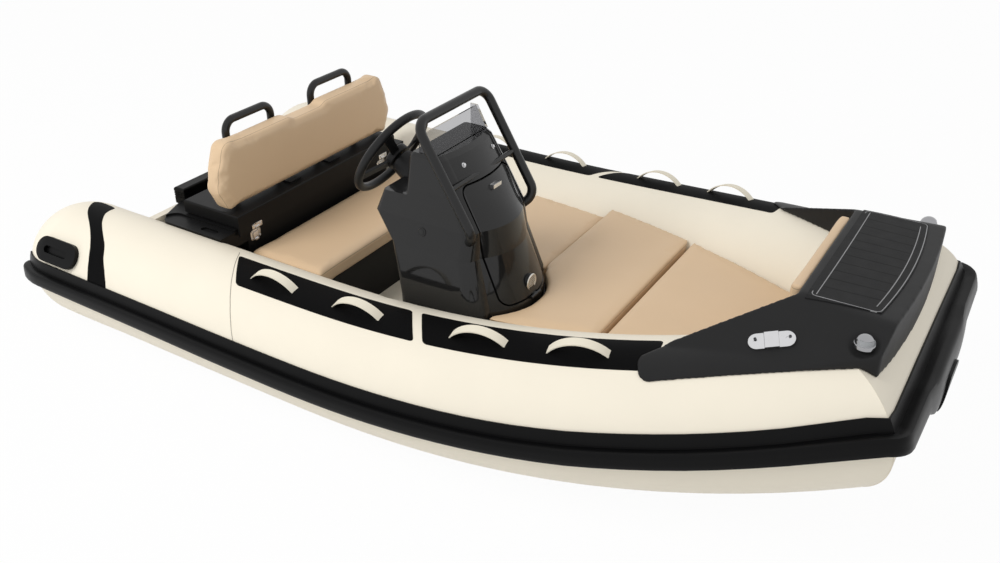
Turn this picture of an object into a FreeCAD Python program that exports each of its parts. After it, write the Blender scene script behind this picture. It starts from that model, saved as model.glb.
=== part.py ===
import FreeCAD, Part
import math
import os

# A small rigid inflatable boat with a V hull, an offset helm console and a stern bench.
# Frame: origin on the aft face of the transom at the waterline, +X to the bow, +Y to port,
# +Z up. All lengths are in millimetres.

# Inflatable collar
tube_half_spacing = 629.0
tube_radius = 211.0
bow_tube_radius = 218.0
tube_axis_height = 203.5
tube_end_x = -223.0
plan_curve_start_x = 605.0
sheer_start_x = 927.0
bow_axis_x = 2400.0
bow_corner_half_width = 333.0
bow_axis_height = 370.5
mitre_run_on = 330.0
mitre_lap = 3.0
seat_gap = 0.3

# Rub rail: a flat band with a thick bumper on its lower half
rail_top_angle = 18.9
rail_crease_angle = 6.0
rail_bottom_angle = -15.3
rail_shoulder_angle = 1.6
rail_band_thickness = 6.0
rail_bumper_depth = 33.0
rail_wrap_angle = 34.0

# Straps and grips on the collar
strap_width = 30.0
strap_thickness = 4.0
strap_span = 178.0
strap_rise = 40.0
strap_angle = 80.0
strap_station_x = (748.0, 1085.0, 1511.0, 1810.0)
end_grip_x = -158.0
end_grip_length = 205.0
end_grip_height = 90.0
end_grip_thickness = 16.0
end_grip_lift = 34.8
end_grip_slot_width = 120.0
end_grip_slot_height = 26.0
bow_grip_length = 190.0
bow_grip_height = 120.0
bow_grip_reach = 24.0
bow_grip_drop = 34.0

# Hull
keel_depth = 150.0
chine_angle = 235.5
chine_reach = 228.0
sole_height = 60.0
coaming_thickness = 12.0
well_start_x = 30.0
transom_thickness = 30.0
strake_width = 34.0
strake_depth = 14.0
strake_place_share = 0.55
strake_start_share = 0.05

# Stern
deck_height = 405.0
deck_slab = 20.0
transom_top_height = deck_height - deck_slab
deck_step = 7.0
deck_step_y = 462.0
deck_corner = 40.0
deck_pull_x = 284.0
deck_pull_y = 495.0
deck_pull_length = 76.0
deck_pull_width = 24.0
deck_skirt_depth = 65.0
deck_aft_x = 30.0
deck_shoulder_x = 81.0
deck_front_x = 371.0
deck_half_width = 528.0
deck_aft_half_width = 400.0
engine_pad_height = 44.0
engine_pad_half_width = 380.0
engine_pad_aft_x = -12.0
engine_pad_front_x = 40.0
engine_pad_round = 8.0
engine_pad_groove = 3.0
engine_pad_grooves = 3
locker_wall = 6.0
locker_aft_x = 96.0
locker_half_width = 404.0
hatch_half_width = 376.0
hatch_aft_x = 136.0
hatch_front_x = 353.0
lid_rise = 52.0
lid_height = deck_height + lid_rise
lid_aft_x = 118.0
lid_front_x = 385.0
lid_half_width = 450.0
lid_wall = 8.0
lid_gap = 5.0
lid_front_drop = 25.0
lid_front_skirt_bottom = deck_height - lid_front_drop
lid_edge_round = 6.0
lid_hinge_x = 106.0
lid_hinge_rise = 14.0
lid_hinge_y = 250.0
hinge_radius = 7.0
hinge_pin_radius = 3.0
hinge_knuckle_length = 26.0
hinge_leaf_thickness = 4.0
pin_clearance = 0.3

# Backrest and its hand holds
backrest_thickness = 75.0
backrest_front_x = 352.0
backrest_seat_gap = 4.0
backrest_base_height = lid_height + backrest_seat_gap
backrest_rise = 256.0
backrest_half_width = 490.0
backrest_dip = 14.0
backrest_low_corner = 20.0
backrest_side_bend = 60.0
backrest_corner = 45.0
backrest_dip_bend = 14.0
backrest_edge_round = 12.0
hand_hold_radius = 14.0
hand_hold_half_width = 112.0
hand_hold_centre_y = 222.0
hand_hold_rise = 28.0
hand_hold_gap = 4.0
hand_hold_corner = 42.0

# Draw latches on the stern locker
latch_y = 366.0
latch_width = 34.0
latch_depth = 12.0
latch_height = 44.0
latch_plate = 3.0

# Stern bench
bench_front_x = 698.0
bench_top_height = 250.0
bench_half_width = 400.0
bench_cushion_aft_x = 380.0
bench_cushion_front_x = 715.0
bench_cushion_thickness = 60.0
bench_cushion_half_width = 420.0
cushion_round = 14.0

# Helm console, offset to starboard
console_centre_y = -260.0
console_reach_x = 1470.0
console_half_width = 217.0
console_wall = 6.0
console_height = 850.0
console_toe_room = 10.0
well_end_x = console_reach_x + console_toe_room
door_half_width = 125.0
door_bottom_height = 396.0
door_top_height = 760.0
door_corner = 30.0
door_gap = 5.0
door_latch_width = 44.0
door_latch_height = 12.0
door_latch_depth = 9.0
door_hinge_radius = 5.0
door_hinge_gap = 0.8
door_knuckle_length = 18.0
door_vent_radius = 20.0
door_vent_depth = 7.0
door_vent_rise = 36.0

# Console rail and windscreen: places along the console's reach, and heights above it
console_rail_radius = 15.0
console_rail_half_width = 183.0
console_rail_top_share = 0.796
console_rail_rise = 110.0
console_rail_foot_share = 0.9265
console_rail_foot_level_share = 0.7341
console_rail_end_share = 0.898
console_rail_end_level_share = 0.6835
console_rail_end_inset = 35.0
console_rail_bend = 45.0
rail_stay_level_share = 0.9047
rail_stay_radius = 8.0
screen_rise = 68.0
screen_top_share = 0.7973
screen_foot_share = 0.822
screen_thickness = 5.0
screen_half_width = 142.0
screen_wing_depth = 62.0

# Steering
wheel_radius = 150.0
wheel_rim_radius = 14.0
wheel_tilt = 30.0
wheel_place_share = 0.6466
wheel_level_share = 0.8696
wheel_hub_radius = 44.0
wheel_hub_depth = 26.0
wheel_dish = 22.0
wheel_spoke_width = 30.0
wheel_spoke_thickness = 9.0
wheel_spoke_turns = (-41.0, -113.0, 103.0)
column_tip_radius = 40.0
column_foot_radius = 66.0
column_length = 200.0
column_round = 8.0
column_clearance = 5.0
column_shaft_radius = 10.0

# Forward cushions
fore_base_height = 300.0
fore_base_inner_y = -36.0
fore_base_overlap = 60.0
fore_cushion_top = 380.0
console_nook = 85.0
fore_seam_one_x = console_reach_x - console_nook
side_cushion_length = 327.0
fore_base_aft_x = fore_seam_one_x - side_cushion_length
fore_cushion_length = 360.0
fore_seam_two_x = fore_seam_one_x + fore_cushion_length
fore_cushion_end_x = 2238.0
side_cushion_top = 350.0
cushion_gap = 3.0
cushion_cushion_gap = 4.0

# Bow cover
cover_height = 670.0
cover_aft_x = 2276.0
cover_deck_half_width = 290.0
cover_knee_x = 2008.0
cover_knee_y = 478.0
cover_knee_height = 530.0
cover_tip_x = 1950.0
cover_tip_y = 556.0
cover_tip_outer_x = 1985.0
cover_tip_outer_y = 622.0
cover_tip_round = 35.0
cover_skin = 8.0
cover_crease_round = 60.0
cover_corner_x = 2527.0
cover_corner_y = 396.0
cover_front_x = 2552.0
mat_thickness = 3.0
mat_aft_x = 2300.0
mat_front_x = 2490.0
mat_crown_x = 2512.0
mat_half_width = 302.0
mat_front_half_width = 287.0
mat_corner = 14.0
bolster_thickness = 32.0
bolster_half_width = 250.0
bolster_top = 662.0
nav_light_x = 2479.0
nav_light_y = 380.0
nav_light_radius = 27.0
nav_light_height = 34.0
nav_recess_radius = 37.0
nav_recess_depth = 5.0
cleat_x = 2263.0
cleat_y = 421.0
cleat_length = 122.0
cleat_width = 46.0
cleat_thickness = 9.0
cleat_round = 3.0
cleat_bar_length = 38.0
cleat_bar_rise = 5.0
cleat_screw_radius = 5.0
cleat_screw_depth = 2.0

# Lifting and towing eyes
eye_ring = 24.0
eye_bore = 9.0
eye_thickness = 10.0
stern_eye_y = 330.0
stern_eye_height = 70.0
bow_eye_x = 2316.0
bow_eye_height = 60.0

overrun = 20.0
long_cut = 4000.0


def vec(x, y, z):
    return FreeCAD.Vector(x, y, z)


# Collar path

def share_past(x, start, end):
    return max(0.0, (x - start) / (end - start))


def axis_y(x):
    share = share_past(x, plan_curve_start_x, bow_axis_x)
    return tube_half_spacing - (tube_half_spacing - bow_corner_half_width) * share ** 3


def axis_z(x):
    share = share_past(x, sheer_start_x, bow_axis_x)
    return tube_axis_height + (bow_axis_height - tube_axis_height) * share ** 2


def radius_at(x):
    share = share_past(x, sheer_start_x, bow_axis_x)
    return tube_radius + (bow_tube_radius - tube_radius) * min(share, 1.0)


def axis_point(x):
    return vec(x, axis_y(x), axis_z(x))


def axis_direction(x):
    plan_run = bow_axis_x - plan_curve_start_x
    plan_share = share_past(x, plan_curve_start_x, bow_axis_x)
    sheer_run = bow_axis_x - sheer_start_x
    sheer_share = share_past(x, sheer_start_x, bow_axis_x)
    slope_y = -3 * (tube_half_spacing - bow_corner_half_width) * plan_share ** 2 / plan_run
    slope_z = 2 * (bow_axis_height - tube_axis_height) * sheer_share / sheer_run
    direction = vec(1, slope_y, slope_z)
    direction.normalize()
    return direction


def section_placement(origin, forward):
    outward = vec(-forward.y, forward.x, 0)
    outward.normalize()
    up = forward.cross(outward)
    matrix = FreeCAD.Matrix(
        forward.x, outward.x, up.x, origin.x,
        forward.y, outward.y, up.y, origin.y,
        forward.z, outward.z, up.z, origin.z,
        0, 0, 0, 1)
    return FreeCAD.Placement(matrix)


def polar(angle, radius):
    turn = math.radians(angle)
    return vec(0, radius * math.cos(turn), radius * math.sin(turn))


def mirrored(shape):
    return shape.mirror(vec(0, 0, 0), vec(0, 1, 0))


def pair(shape):
    return Part.makeCompound([shape, mirrored(shape)])


collar_station_shares = (0.0, 0.1, 0.2, 0.3, 0.4, 0.48, 0.56, 0.64, 0.72, 0.8, 0.87, 0.94, 1.0)
collar_stations = [tube_end_x + (bow_axis_x - tube_end_x) * share
                   for share in collar_station_shares]
bow_corner = axis_point(bow_axis_x)
corner_direction = axis_direction(bow_axis_x)
mitre_normal = corner_direction + vec(0, -1, 0)
mitre_normal.normalize()


def collar_sections(wire_at, stations):
    wires = []
    for x in stations:
        wire = wire_at(radius_at(x))
        wire.Placement = section_placement(axis_point(x), axis_direction(x))
        wires.append(wire)
    wire = wire_at(radius_at(bow_axis_x))
    end_point = bow_corner + corner_direction * mitre_run_on
    wire.Placement = section_placement(end_point, corner_direction)
    wires.append(wire)
    return wires


def half_space(point, normal):
    half = long_cut / 2
    box = Part.makeBox(long_cut, long_cut, long_cut, vec(-half, -half, 0))
    box.Placement = FreeCAD.Placement(point, FreeCAD.Rotation(vec(0, 0, 1), normal))
    return box


def circle_wire(radius):
    return Part.Wire([Part.makeCircle(radius, vec(0, 0, 0), vec(1, 0, 0))])


def side_tube(extra, lap=0.0):
    sections = collar_sections(lambda radius: circle_wire(radius + extra), collar_stations)
    tube = Part.makeLoft(sections, True, False)
    return tube.cut(half_space(bow_corner + mitre_normal * lap, mitre_normal))


def bow_tube(extra, lap=0.0):
    length = 2 * (bow_corner_half_width + mitre_run_on)
    start = vec(bow_axis_x, -length / 2, bow_axis_height)
    tube = Part.makeCylinder(bow_tube_radius + extra, length, start, vec(0, 1, 0))
    port_cut = half_space(bow_corner - mitre_normal * lap, mitre_normal * -1)
    return tube.cut(port_cut).cut(mirrored(port_cut))


def tube_end(extra):
    centre = axis_point(tube_end_x)
    ball = Part.makeSphere(tube_radius + extra, centre)
    return ball.common(half_space(centre, vec(-1, 0, 0)))


def rail_wire(radius):
    band = radius + rail_band_thickness
    bumper = radius + rail_bumper_depth
    seat = radius + seat_gap
    shoulder_top = rail_crease_angle - rail_shoulder_angle
    shoulder_low = rail_bottom_angle + rail_shoulder_angle
    middle = (rail_top_angle + rail_bottom_angle) / 2
    bumper_middle = (shoulder_top + shoulder_low) / 2
    band_middle = (rail_top_angle + rail_crease_angle) / 2
    edges = [
        Part.makeLine(polar(rail_top_angle, seat), polar(rail_top_angle, band)),
        Part.Arc(polar(rail_top_angle, band), polar(band_middle, band),
                 polar(rail_crease_angle, band)).toShape(),
        Part.makeLine(polar(rail_crease_angle, band), polar(shoulder_top, bumper)),
        Part.Arc(polar(shoulder_top, bumper), polar(bumper_middle, bumper),
                 polar(shoulder_low, bumper)).toShape(),
        Part.makeLine(polar(shoulder_low, bumper), polar(rail_bottom_angle, band)),
        Part.makeLine(polar(rail_bottom_angle, band), polar(rail_bottom_angle, seat)),
        Part.Arc(polar(rail_bottom_angle, seat), polar(middle, seat),
                 polar(rail_top_angle, seat)).toShape()]
    return Part.Wire(edges)


def side_rail():
    rail = Part.makeLoft(collar_sections(rail_wire, collar_stations), True, False)
    rail = rail.cut(half_space(bow_corner, mitre_normal))
    end_wire = rail_wire(tube_radius)
    end_wire.Placement = section_placement(axis_point(tube_end_x), vec(1, 0, 0))
    end_face = Part.Face(end_wire)
    wrapped = end_face.revolve(axis_point(tube_end_x), vec(0, 0, 1), rail_wrap_angle)
    return rail.fuse(wrapped)


def bow_rail():
    wire = rail_wire(bow_tube_radius)
    length = 2 * (bow_corner_half_width + mitre_run_on)
    start = vec(bow_axis_x, length / 2, bow_axis_height)
    wire.Placement = section_placement(start, vec(0, -1, 0))
    rail = Part.Face(wire).extrude(vec(0, -length, 0))
    port_cut = half_space(bow_corner, mitre_normal * -1)
    return rail.cut(port_cut).cut(mirrored(port_cut))


# Straps: arched webbing loops along the top of the collar

def strap(x):
    radius = radius_at(x)
    half = strap_span / 2
    foot = radius + seat_gap
    top = foot + strap_rise
    outer = Part.Arc(vec(-half, 0, foot), vec(0, 0, top), vec(half, 0, foot)).toShape()
    inner_half = half - strap_thickness
    inner = Part.Arc(vec(inner_half, 0, foot), vec(0, 0, top - strap_thickness),
                     vec(-inner_half, 0, foot)).toShape()
    right = Part.makeLine(vec(half, 0, foot), vec(inner_half, 0, foot))
    left = Part.makeLine(vec(-inner_half, 0, foot), vec(-half, 0, foot))
    face = Part.Face(Part.Wire([outer, right, inner, left]))
    face.translate(vec(0, -strap_width / 2, 0))
    arch = face.extrude(vec(0, strap_width, 0))
    arch.rotate(vec(0, 0, 0), vec(1, 0, 0), strap_angle - 90)
    arch.Placement = section_placement(axis_point(x), axis_direction(x)).multiply(arch.Placement)
    return arch


def rounded_plate(length, height, thickness):
    # A stadium-shaped plate in the YZ plane, its back at x = 0
    radius = height / 2
    run = length / 2 - radius
    edges = [
        Part.makeLine(vec(0, -run, radius), vec(0, run, radius)),
        Part.Arc(vec(0, run, radius), vec(0, run + radius, 0), vec(0, run, -radius)).toShape(),
        Part.makeLine(vec(0, run, -radius), vec(0, -run, -radius)),
        Part.Arc(vec(0, -run, -radius), vec(0, -run - radius, 0),
                 vec(0, -run, radius)).toShape()]
    return Part.Face(Part.Wire(edges)).extrude(vec(thickness, 0, 0))


def end_form(extra):
    # The last stretch of a side tube and its rounded end
    centre = axis_point(tube_end_x)
    run = Part.makeCylinder(tube_radius + extra, end_grip_length, centre, vec(1, 0, 0))
    return run.fuse(Part.makeSphere(tube_radius + extra, centre))


def end_grip():
    # A moulded grip on the outer upper quarter of each tube end
    depth = tube_radius + 2 * end_grip_thickness
    plate = rounded_plate(end_grip_length, end_grip_height, depth)
    finger = rounded_plate(end_grip_slot_width, end_grip_slot_height, depth)
    for piece in (plate, finger):
        piece.rotate(vec(0, 0, 0), vec(0, 0, 1), 90)
        piece.rotate(vec(0, 0, 0), vec(1, 0, 0), end_grip_lift)
        piece.translate(vec(end_grip_x, tube_half_spacing, tube_axis_height))
    grip = plate.common(end_form(end_grip_thickness)).cut(end_form(seat_gap))
    return grip.cut(finger.cut(end_form(end_grip_thickness / 4)))


def bow_grip():
    plate = rounded_plate(bow_grip_length, bow_grip_height, bow_tube_radius * 2)
    plate.translate(vec(bow_axis_x, 0, bow_axis_height - bow_grip_drop))
    outer = bow_tube(rail_bumper_depth + bow_grip_reach)
    grip = plate.common(outer).cut(bow_tube(seat_gap))
    return grip.cut(bow_rail())


# Hull

keel_table_shares = (
    (0.0, 0.0), (0.3, 0.0), (0.5, 0.005), (0.64, 0.05), (0.75, 0.15),
    (0.84, 0.31), (0.91, 0.52), (0.96, 0.74), (1.0, 1.0))


def hull_section(x, keel_z):
    centre = axis_point(x)
    reach = chine_reach * radius_at(x) / tube_radius
    turn = math.radians(chine_angle)
    chine_y = centre.y + reach * math.cos(turn)
    chine_z = centre.z + reach * math.sin(turn)
    top_y = centre.y - radius_at(x)
    points = [vec(x, 0, keel_z), vec(x, chine_y, chine_z), vec(x, top_y, centre.z),
              vec(x, -top_y, centre.z), vec(x, -chine_y, chine_z), vec(x, 0, keel_z)]
    return Part.makePolygon(points)


def hull_body():
    stem_z = bow_axis_height - bow_tube_radius
    sections = []
    for x_share, rise_share in keel_table_shares:
        keel_z = -keel_depth + (stem_z + keel_depth) * rise_share
        sections.append(hull_section(bow_axis_x * x_share, keel_z))
    return Part.makeLoft(sections, True, False)


def strake_section(x, keel_z):
    # A small wedge that stands square on the bottom, partway from the keel to the chine
    centre = axis_point(x)
    reach = chine_reach * radius_at(x) / tube_radius
    turn = math.radians(chine_angle)
    keel = vec(x, 0, keel_z)
    chine = vec(x, centre.y + reach * math.cos(turn), centre.z + reach * math.sin(turn))
    along = (chine - keel).normalize()
    outward = vec(0, along.z, -along.y)
    foot = keel + (chine - keel) * strake_place_share
    inner = foot - along * (strake_width / 2) - outward * strake_depth
    outer = foot + along * (strake_width / 2) - outward * strake_depth
    crest = foot + along * (strake_width / 2) + outward * strake_depth
    return Part.makePolygon([inner, outer, crest, inner])


def strakes():
    stem_z = bow_axis_height - bow_tube_radius
    sections = []
    for x_share, rise_share in keel_table_shares[:-3]:
        x = bow_axis_x * max(x_share, strake_start_share)
        keel_z = -keel_depth + (stem_z + keel_depth) * rise_share
        sections.append(strake_section(x, keel_z))
    port = Part.makeLoft(sections, True, True)
    return port, mirrored(port)


def between_tubes(start_x, end_x, bottom, top, inset):
    # A block whose sides follow the inner faces of the collar in plan
    steps = 8
    xs = [start_x + (end_x - start_x) * step / steps for step in range(steps + 1)]
    port = [vec(x, axis_y(x) - radius_at(x) - inset, bottom) for x in xs]
    starboard = [vec(p.x, -p.y, p.z) for p in reversed(port)]
    edges = [
        spline_edge(port), Part.makeLine(port[-1], starboard[0]),
        spline_edge(starboard), Part.makeLine(starboard[-1], port[0])]
    return Part.Face(Part.Wire(edges)).extrude(vec(0, 0, top - bottom))


def spline_edge(points):
    curve = Part.BSplineCurve()
    curve.interpolate(points)
    return curve.toShape()


def cut_collar(shape, gap):
    port = side_tube(gap, mitre_lap)
    return shape.cut(port).cut(mirrored(port)).cut(bow_tube(gap, mitre_lap))


def hull():
    body = cut_collar(hull_body(), seat_gap)
    well = between_tubes(well_start_x, well_end_x, sole_height, bow_axis_height,
                         coaming_thickness)
    body = body.cut(well)
    above = Part.makeBox(long_cut, long_cut, long_cut,
                         vec(well_end_x, -long_cut / 2, fore_base_height))
    port_strake, starboard_strake = strakes()
    return body.cut(above).fuse(port_strake).fuse(starboard_strake)


def transom():
    wide = tube_half_spacing
    block = Part.makeBox(transom_thickness, 2 * wide, transom_top_height - sole_height,
                         vec(0, -wide, sole_height))
    port = side_tube(seat_gap)
    block = block.cut(port).cut(mirrored(port))
    return block.cut(hull_body())


# Stern deck, locker and lid

def deck_outline():
    middle = vec(deck_aft_x, 0, 0)
    half = [middle, vec(deck_aft_x, deck_aft_half_width, 0),
            vec(deck_shoulder_x, deck_half_width, 0), vec(deck_front_x, deck_half_width, 0)]
    port = bar_path(half, deck_corner)
    starboard = mirrored(port)
    front = Part.makeLine(vec(deck_front_x, deck_half_width, 0),
                          vec(deck_front_x, -deck_half_width, 0))
    return Part.Wire(Part.__sortEdges__(port.Edges + starboard.Edges + [front]))


def deck_side_step():
    # The deck drops to a lower shoulder beside the lid, with a long pull recess in it
    step = box_between(deck_aft_x + deck_corner, deck_front_x + overrun, deck_step_y,
                       tube_half_spacing, deck_height - deck_step, deck_height + overrun)
    edges = [edge for edge in step.Edges if edge.BoundBox.XMax < deck_shoulder_x
             and edge.BoundBox.YMax < deck_half_width and edge.BoundBox.ZLength > deck_step]
    step = step.makeFillet(deck_corner, edges)
    pull = rounded_plate(deck_pull_length, deck_pull_width, deck_step)
    pull.rotate(vec(0, 0, 0), vec(0, 1, 0), -90)
    pull.rotate(vec(0, 0, 0), vec(0, 0, 1), 90)
    pull.translate(vec(deck_pull_x, deck_pull_y, deck_height - 2 * deck_step))
    return step.fuse(pull)


def box_between(x0, x1, y0, y1, z0, z1):
    return Part.makeBox(x1 - x0, y1 - y0, z1 - z0, vec(x0, y0, z0))


def stern_deck():
    deck = Part.Face(deck_outline()).extrude(vec(0, 0, deck_skirt_depth))
    deck.translate(vec(0, 0, deck_height - deck_skirt_depth))
    port = side_tube(seat_gap)
    deck = deck.cut(port).cut(mirrored(port))
    deck = deck.cut(box_between(locker_aft_x, deck_front_x + overrun, -locker_half_width,
                                locker_half_width, 0, transom_top_height))
    deck = deck.cut(box_between(0, locker_aft_x, -long_cut, long_cut, 0, transom_top_height))
    side_step = deck_side_step()
    deck = deck.cut(side_step).cut(mirrored(side_step))
    hatch = box_between(hatch_aft_x, hatch_front_x, -hatch_half_width, hatch_half_width,
                        0, deck_height + overrun)
    return deck.cut(hatch)


def engine_pad():
    pad = box_between(engine_pad_aft_x, engine_pad_front_x, -engine_pad_half_width,
                      engine_pad_half_width, deck_height, deck_height + engine_pad_height)
    notch = box_between(engine_pad_aft_x - overrun, deck_aft_x, -long_cut, long_cut,
                        0, transom_top_height)
    lip = box_between(engine_pad_aft_x, deck_aft_x, -engine_pad_half_width,
                      engine_pad_half_width, transom_top_height, deck_height)
    edges = [edge for edge in pad.Edges if edge.BoundBox.ZMin > deck_height + engine_pad_round]
    pad = pad.makeFillet(engine_pad_round, edges)
    pad = pad.fuse(lip).cut(notch).removeSplitter()
    pitch = (engine_pad_height - engine_pad_round) / (engine_pad_grooves + 1)
    for number in range(engine_pad_grooves):
        low = deck_height + pitch * (number + 1) - engine_pad_groove / 2
        band = box_between(-long_cut, long_cut, -long_cut, long_cut, low, low + engine_pad_groove)
        core = box_between(-long_cut, long_cut, engine_pad_groove - engine_pad_half_width,
                           engine_pad_half_width - engine_pad_groove, 0, long_cut)
        pad = pad.cut(band.cut(core))
    return pad


def stern_locker():
    outer = box_between(locker_aft_x, deck_front_x, -locker_half_width, locker_half_width,
                        sole_height, transom_top_height)
    inner = box_between(locker_aft_x + locker_wall, deck_front_x - locker_wall,
                        locker_wall - locker_half_width, locker_half_width - locker_wall,
                        sole_height + locker_wall, transom_top_height)
    return outer.cut(inner)


def locker_lid():
    skirt_bottom = deck_height + lid_gap
    outer = box_between(lid_aft_x, lid_front_x, -lid_half_width, lid_half_width,
                        skirt_bottom, lid_height)
    front = box_between(deck_front_x + lid_gap, lid_front_x, -lid_half_width, lid_half_width,
                        lid_front_skirt_bottom, lid_height)
    inner = box_between(lid_aft_x + lid_wall, lid_front_x - lid_wall,
                        lid_wall - lid_half_width, lid_half_width - lid_wall,
                        0, lid_height - lid_wall)
    lid = outer.fuse(front).cut(inner).removeSplitter()
    edges = [edge for edge in lid.Edges if edge.BoundBox.ZMin > lid_height - pin_clearance
             and on_outline(edge)]
    return lid.makeFillet(lid_edge_round, edges)


def on_outline(edge):
    box = edge.BoundBox
    along_x = abs(box.YMin) > lid_half_width - pin_clearance
    at_front = box.XMin > lid_front_x - pin_clearance
    at_back = box.XMax < lid_aft_x + pin_clearance
    return along_x or at_front or at_back


def cylinder_y(radius, x, y0, y1, z):
    return Part.makeCylinder(radius, y1 - y0, vec(x, y0, z), vec(0, 1, 0))


def lid_hinges(side):
    # Two hinges on the aft edge: an outer pair of knuckles on the deck, the middle on the lid
    axis_height = deck_height + lid_hinge_rise
    third = hinge_knuckle_length
    pieces = []
    for y in (-lid_hinge_y, lid_hinge_y):
        if side == "deck":
            pin = cylinder_y(hinge_pin_radius, lid_hinge_x, y - 1.5 * third, y + 1.5 * third,
                             axis_height)
            leaf = box_between(lid_hinge_x - hinge_radius, lid_hinge_x + hinge_radius,
                               y - 1.5 * third, y + 1.5 * third, deck_height,
                               deck_height + hinge_leaf_thickness)
            for start in (y - 1.5 * third, y + third / 2):
                knuckle = cylinder_y(hinge_radius, lid_hinge_x, start, start + third,
                                     axis_height)
                post = box_between(lid_hinge_x - hinge_leaf_thickness,
                                   lid_hinge_x + hinge_leaf_thickness,
                                   start, start + third, deck_height, axis_height)
                leaf = leaf.fuse(knuckle).fuse(post)
            pieces.append(leaf.fuse(pin).removeSplitter())
        else:
            gap = pin_clearance
            start = y - third / 2 + gap
            end = y + third / 2 - gap
            knuckle = cylinder_y(hinge_radius, lid_hinge_x, start, end, axis_height)
            arm = box_between(lid_hinge_x, lid_aft_x, start, end,
                              axis_height - hinge_leaf_thickness / 2,
                              axis_height + hinge_leaf_thickness / 2)
            bore = cylinder_y(hinge_pin_radius + gap, lid_hinge_x, start - overrun,
                              end + overrun, axis_height)
            pieces.append(knuckle.fuse(arm).cut(bore).removeSplitter())
    return Part.makeCompound(pieces)


# Half outline of the backrest: half width and height, the height above its base

backrest_outline_shares = (
    (0.0, 0.0), (0.92, 0.0), (1.0, 0.34), (0.97, 0.64), (0.89, 1.0), (0.205, 1.0))


def backrest():
    x = backrest_front_x
    half = [vec(x, backrest_half_width * across, backrest_base_height + backrest_rise * up)
            for across, up in backrest_outline_shares]
    floor_z = backrest_base_height + backrest_rise - backrest_dip
    half.append(vec(x, half[-1].y - 2 * backrest_dip, floor_z))
    half.append(vec(x, 0, floor_z))
    port = bar_path(half, (backrest_low_corner, backrest_side_bend, backrest_side_bend,
                           backrest_corner, backrest_dip_bend, backrest_dip_bend))
    starboard = mirrored(port)
    outline = Part.Wire(Part.__sortEdges__(port.Edges + starboard.Edges))
    pad = Part.Face(outline).extrude(vec(-backrest_thickness, 0, 0))
    rims = [edge for edge in pad.Edges if edge.BoundBox.XLength < pin_clearance]
    return pad.makeFillet(backrest_edge_round, rims)


def bar_path(points, bends):
    # Straight runs joined by tangent arcs at the given corners; bends is one radius or a tuple
    if not isinstance(bends, tuple):
        bends = (bends,) * (len(points) - 2)
    edges = []
    start = points[0]
    for before, corner, after, bend in zip(points, points[1:], points[2:], bends):
        into = (corner - before).normalize()
        out = (after - corner).normalize()
        turn = into.getAngle(out)
        setback = bend * math.tan(turn / 2)
        first = corner - into * setback
        last = corner + out * setback
        bisector = (out - into).normalize()
        centre = corner + bisector * (bend / math.cos(turn / 2))
        middle = centre - bisector * bend
        edges.append(Part.makeLine(start, first))
        edges.append(Part.Arc(first, middle, last).toShape())
        start = last
    edges.append(Part.makeLine(start, points[-1]))
    return Part.Wire(edges)


def round_bar(points, radius, bend):
    path = bar_path(points, bend)
    direction = points[1] - points[0]
    profile = Part.Wire([Part.makeCircle(radius, points[0], direction)])
    return path.makePipeShell([profile], True, True)


def hand_hold():
    x = backrest_front_x - backrest_thickness - hand_hold_gap - hand_hold_radius
    top = backrest_base_height + backrest_rise + hand_hold_rise
    inner = hand_hold_centre_y - hand_hold_half_width
    outer = hand_hold_centre_y + hand_hold_half_width
    points = [vec(x, inner, lid_height), vec(x, inner, top),
              vec(x, outer, top), vec(x, outer, lid_height)]
    return round_bar(points, hand_hold_radius, hand_hold_corner)


def backrest_bracket():
    # Short clips that hold the backrest to the lid
    half = hand_hold_half_width / 4
    back = backrest_front_x - backrest_thickness
    return box_between(back, backrest_front_x, hand_hold_half_width - half,
                       hand_hold_half_width + half, lid_height, backrest_base_height)


def latch_body():
    base_z = lid_front_skirt_bottom - lid_gap
    x = deck_front_x
    plate = box_between(x, x + latch_plate, latch_y - latch_width / 2, latch_y + latch_width / 2,
                        base_z - latch_height, base_z)
    lever = cylinder_y(latch_depth / 2, x + latch_plate + latch_depth / 2,
                       latch_y - latch_width / 3, latch_y + latch_width / 3,
                       base_z - latch_height / 2)
    tongue = box_between(x + latch_plate, x + latch_plate + latch_depth / 2,
                         latch_y - latch_width / 4, latch_y + latch_width / 4,
                         base_z - latch_height, base_z - latch_height / 4)
    return plate.fuse(lever).fuse(tongue).removeSplitter()


def latch_keeper():
    x = lid_front_x
    z = lid_front_skirt_bottom + latch_height / 4
    plate = box_between(x, x + latch_plate, latch_y - latch_width / 2, latch_y + latch_width / 2,
                        lid_front_skirt_bottom, z + latch_height / 4)
    hook = cylinder_y(latch_plate, x + latch_plate, latch_y - latch_width / 3,
                      latch_y + latch_width / 3, z)
    return plate.fuse(hook).removeSplitter()


# Bench

def bench_base():
    return box_between(deck_front_x, bench_front_x, -bench_half_width, bench_half_width,
                       sole_height, bench_top_height)


def bench_cushion():
    pad = box_between(bench_cushion_aft_x, bench_cushion_front_x, -bench_cushion_half_width,
                      bench_cushion_half_width, bench_top_height,
                      bench_top_height + bench_cushion_thickness)
    edges = [edge for edge in pad.Edges if edge.BoundBox.ZMin > bench_top_height + cushion_round]
    return pad.makeFillet(cushion_round, edges)


# Console: each level gives height, aft x, front x at the sides, crown of the front, half width
# and corner radius. The two close levels near the top make the shelf in front of the wheel.

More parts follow.
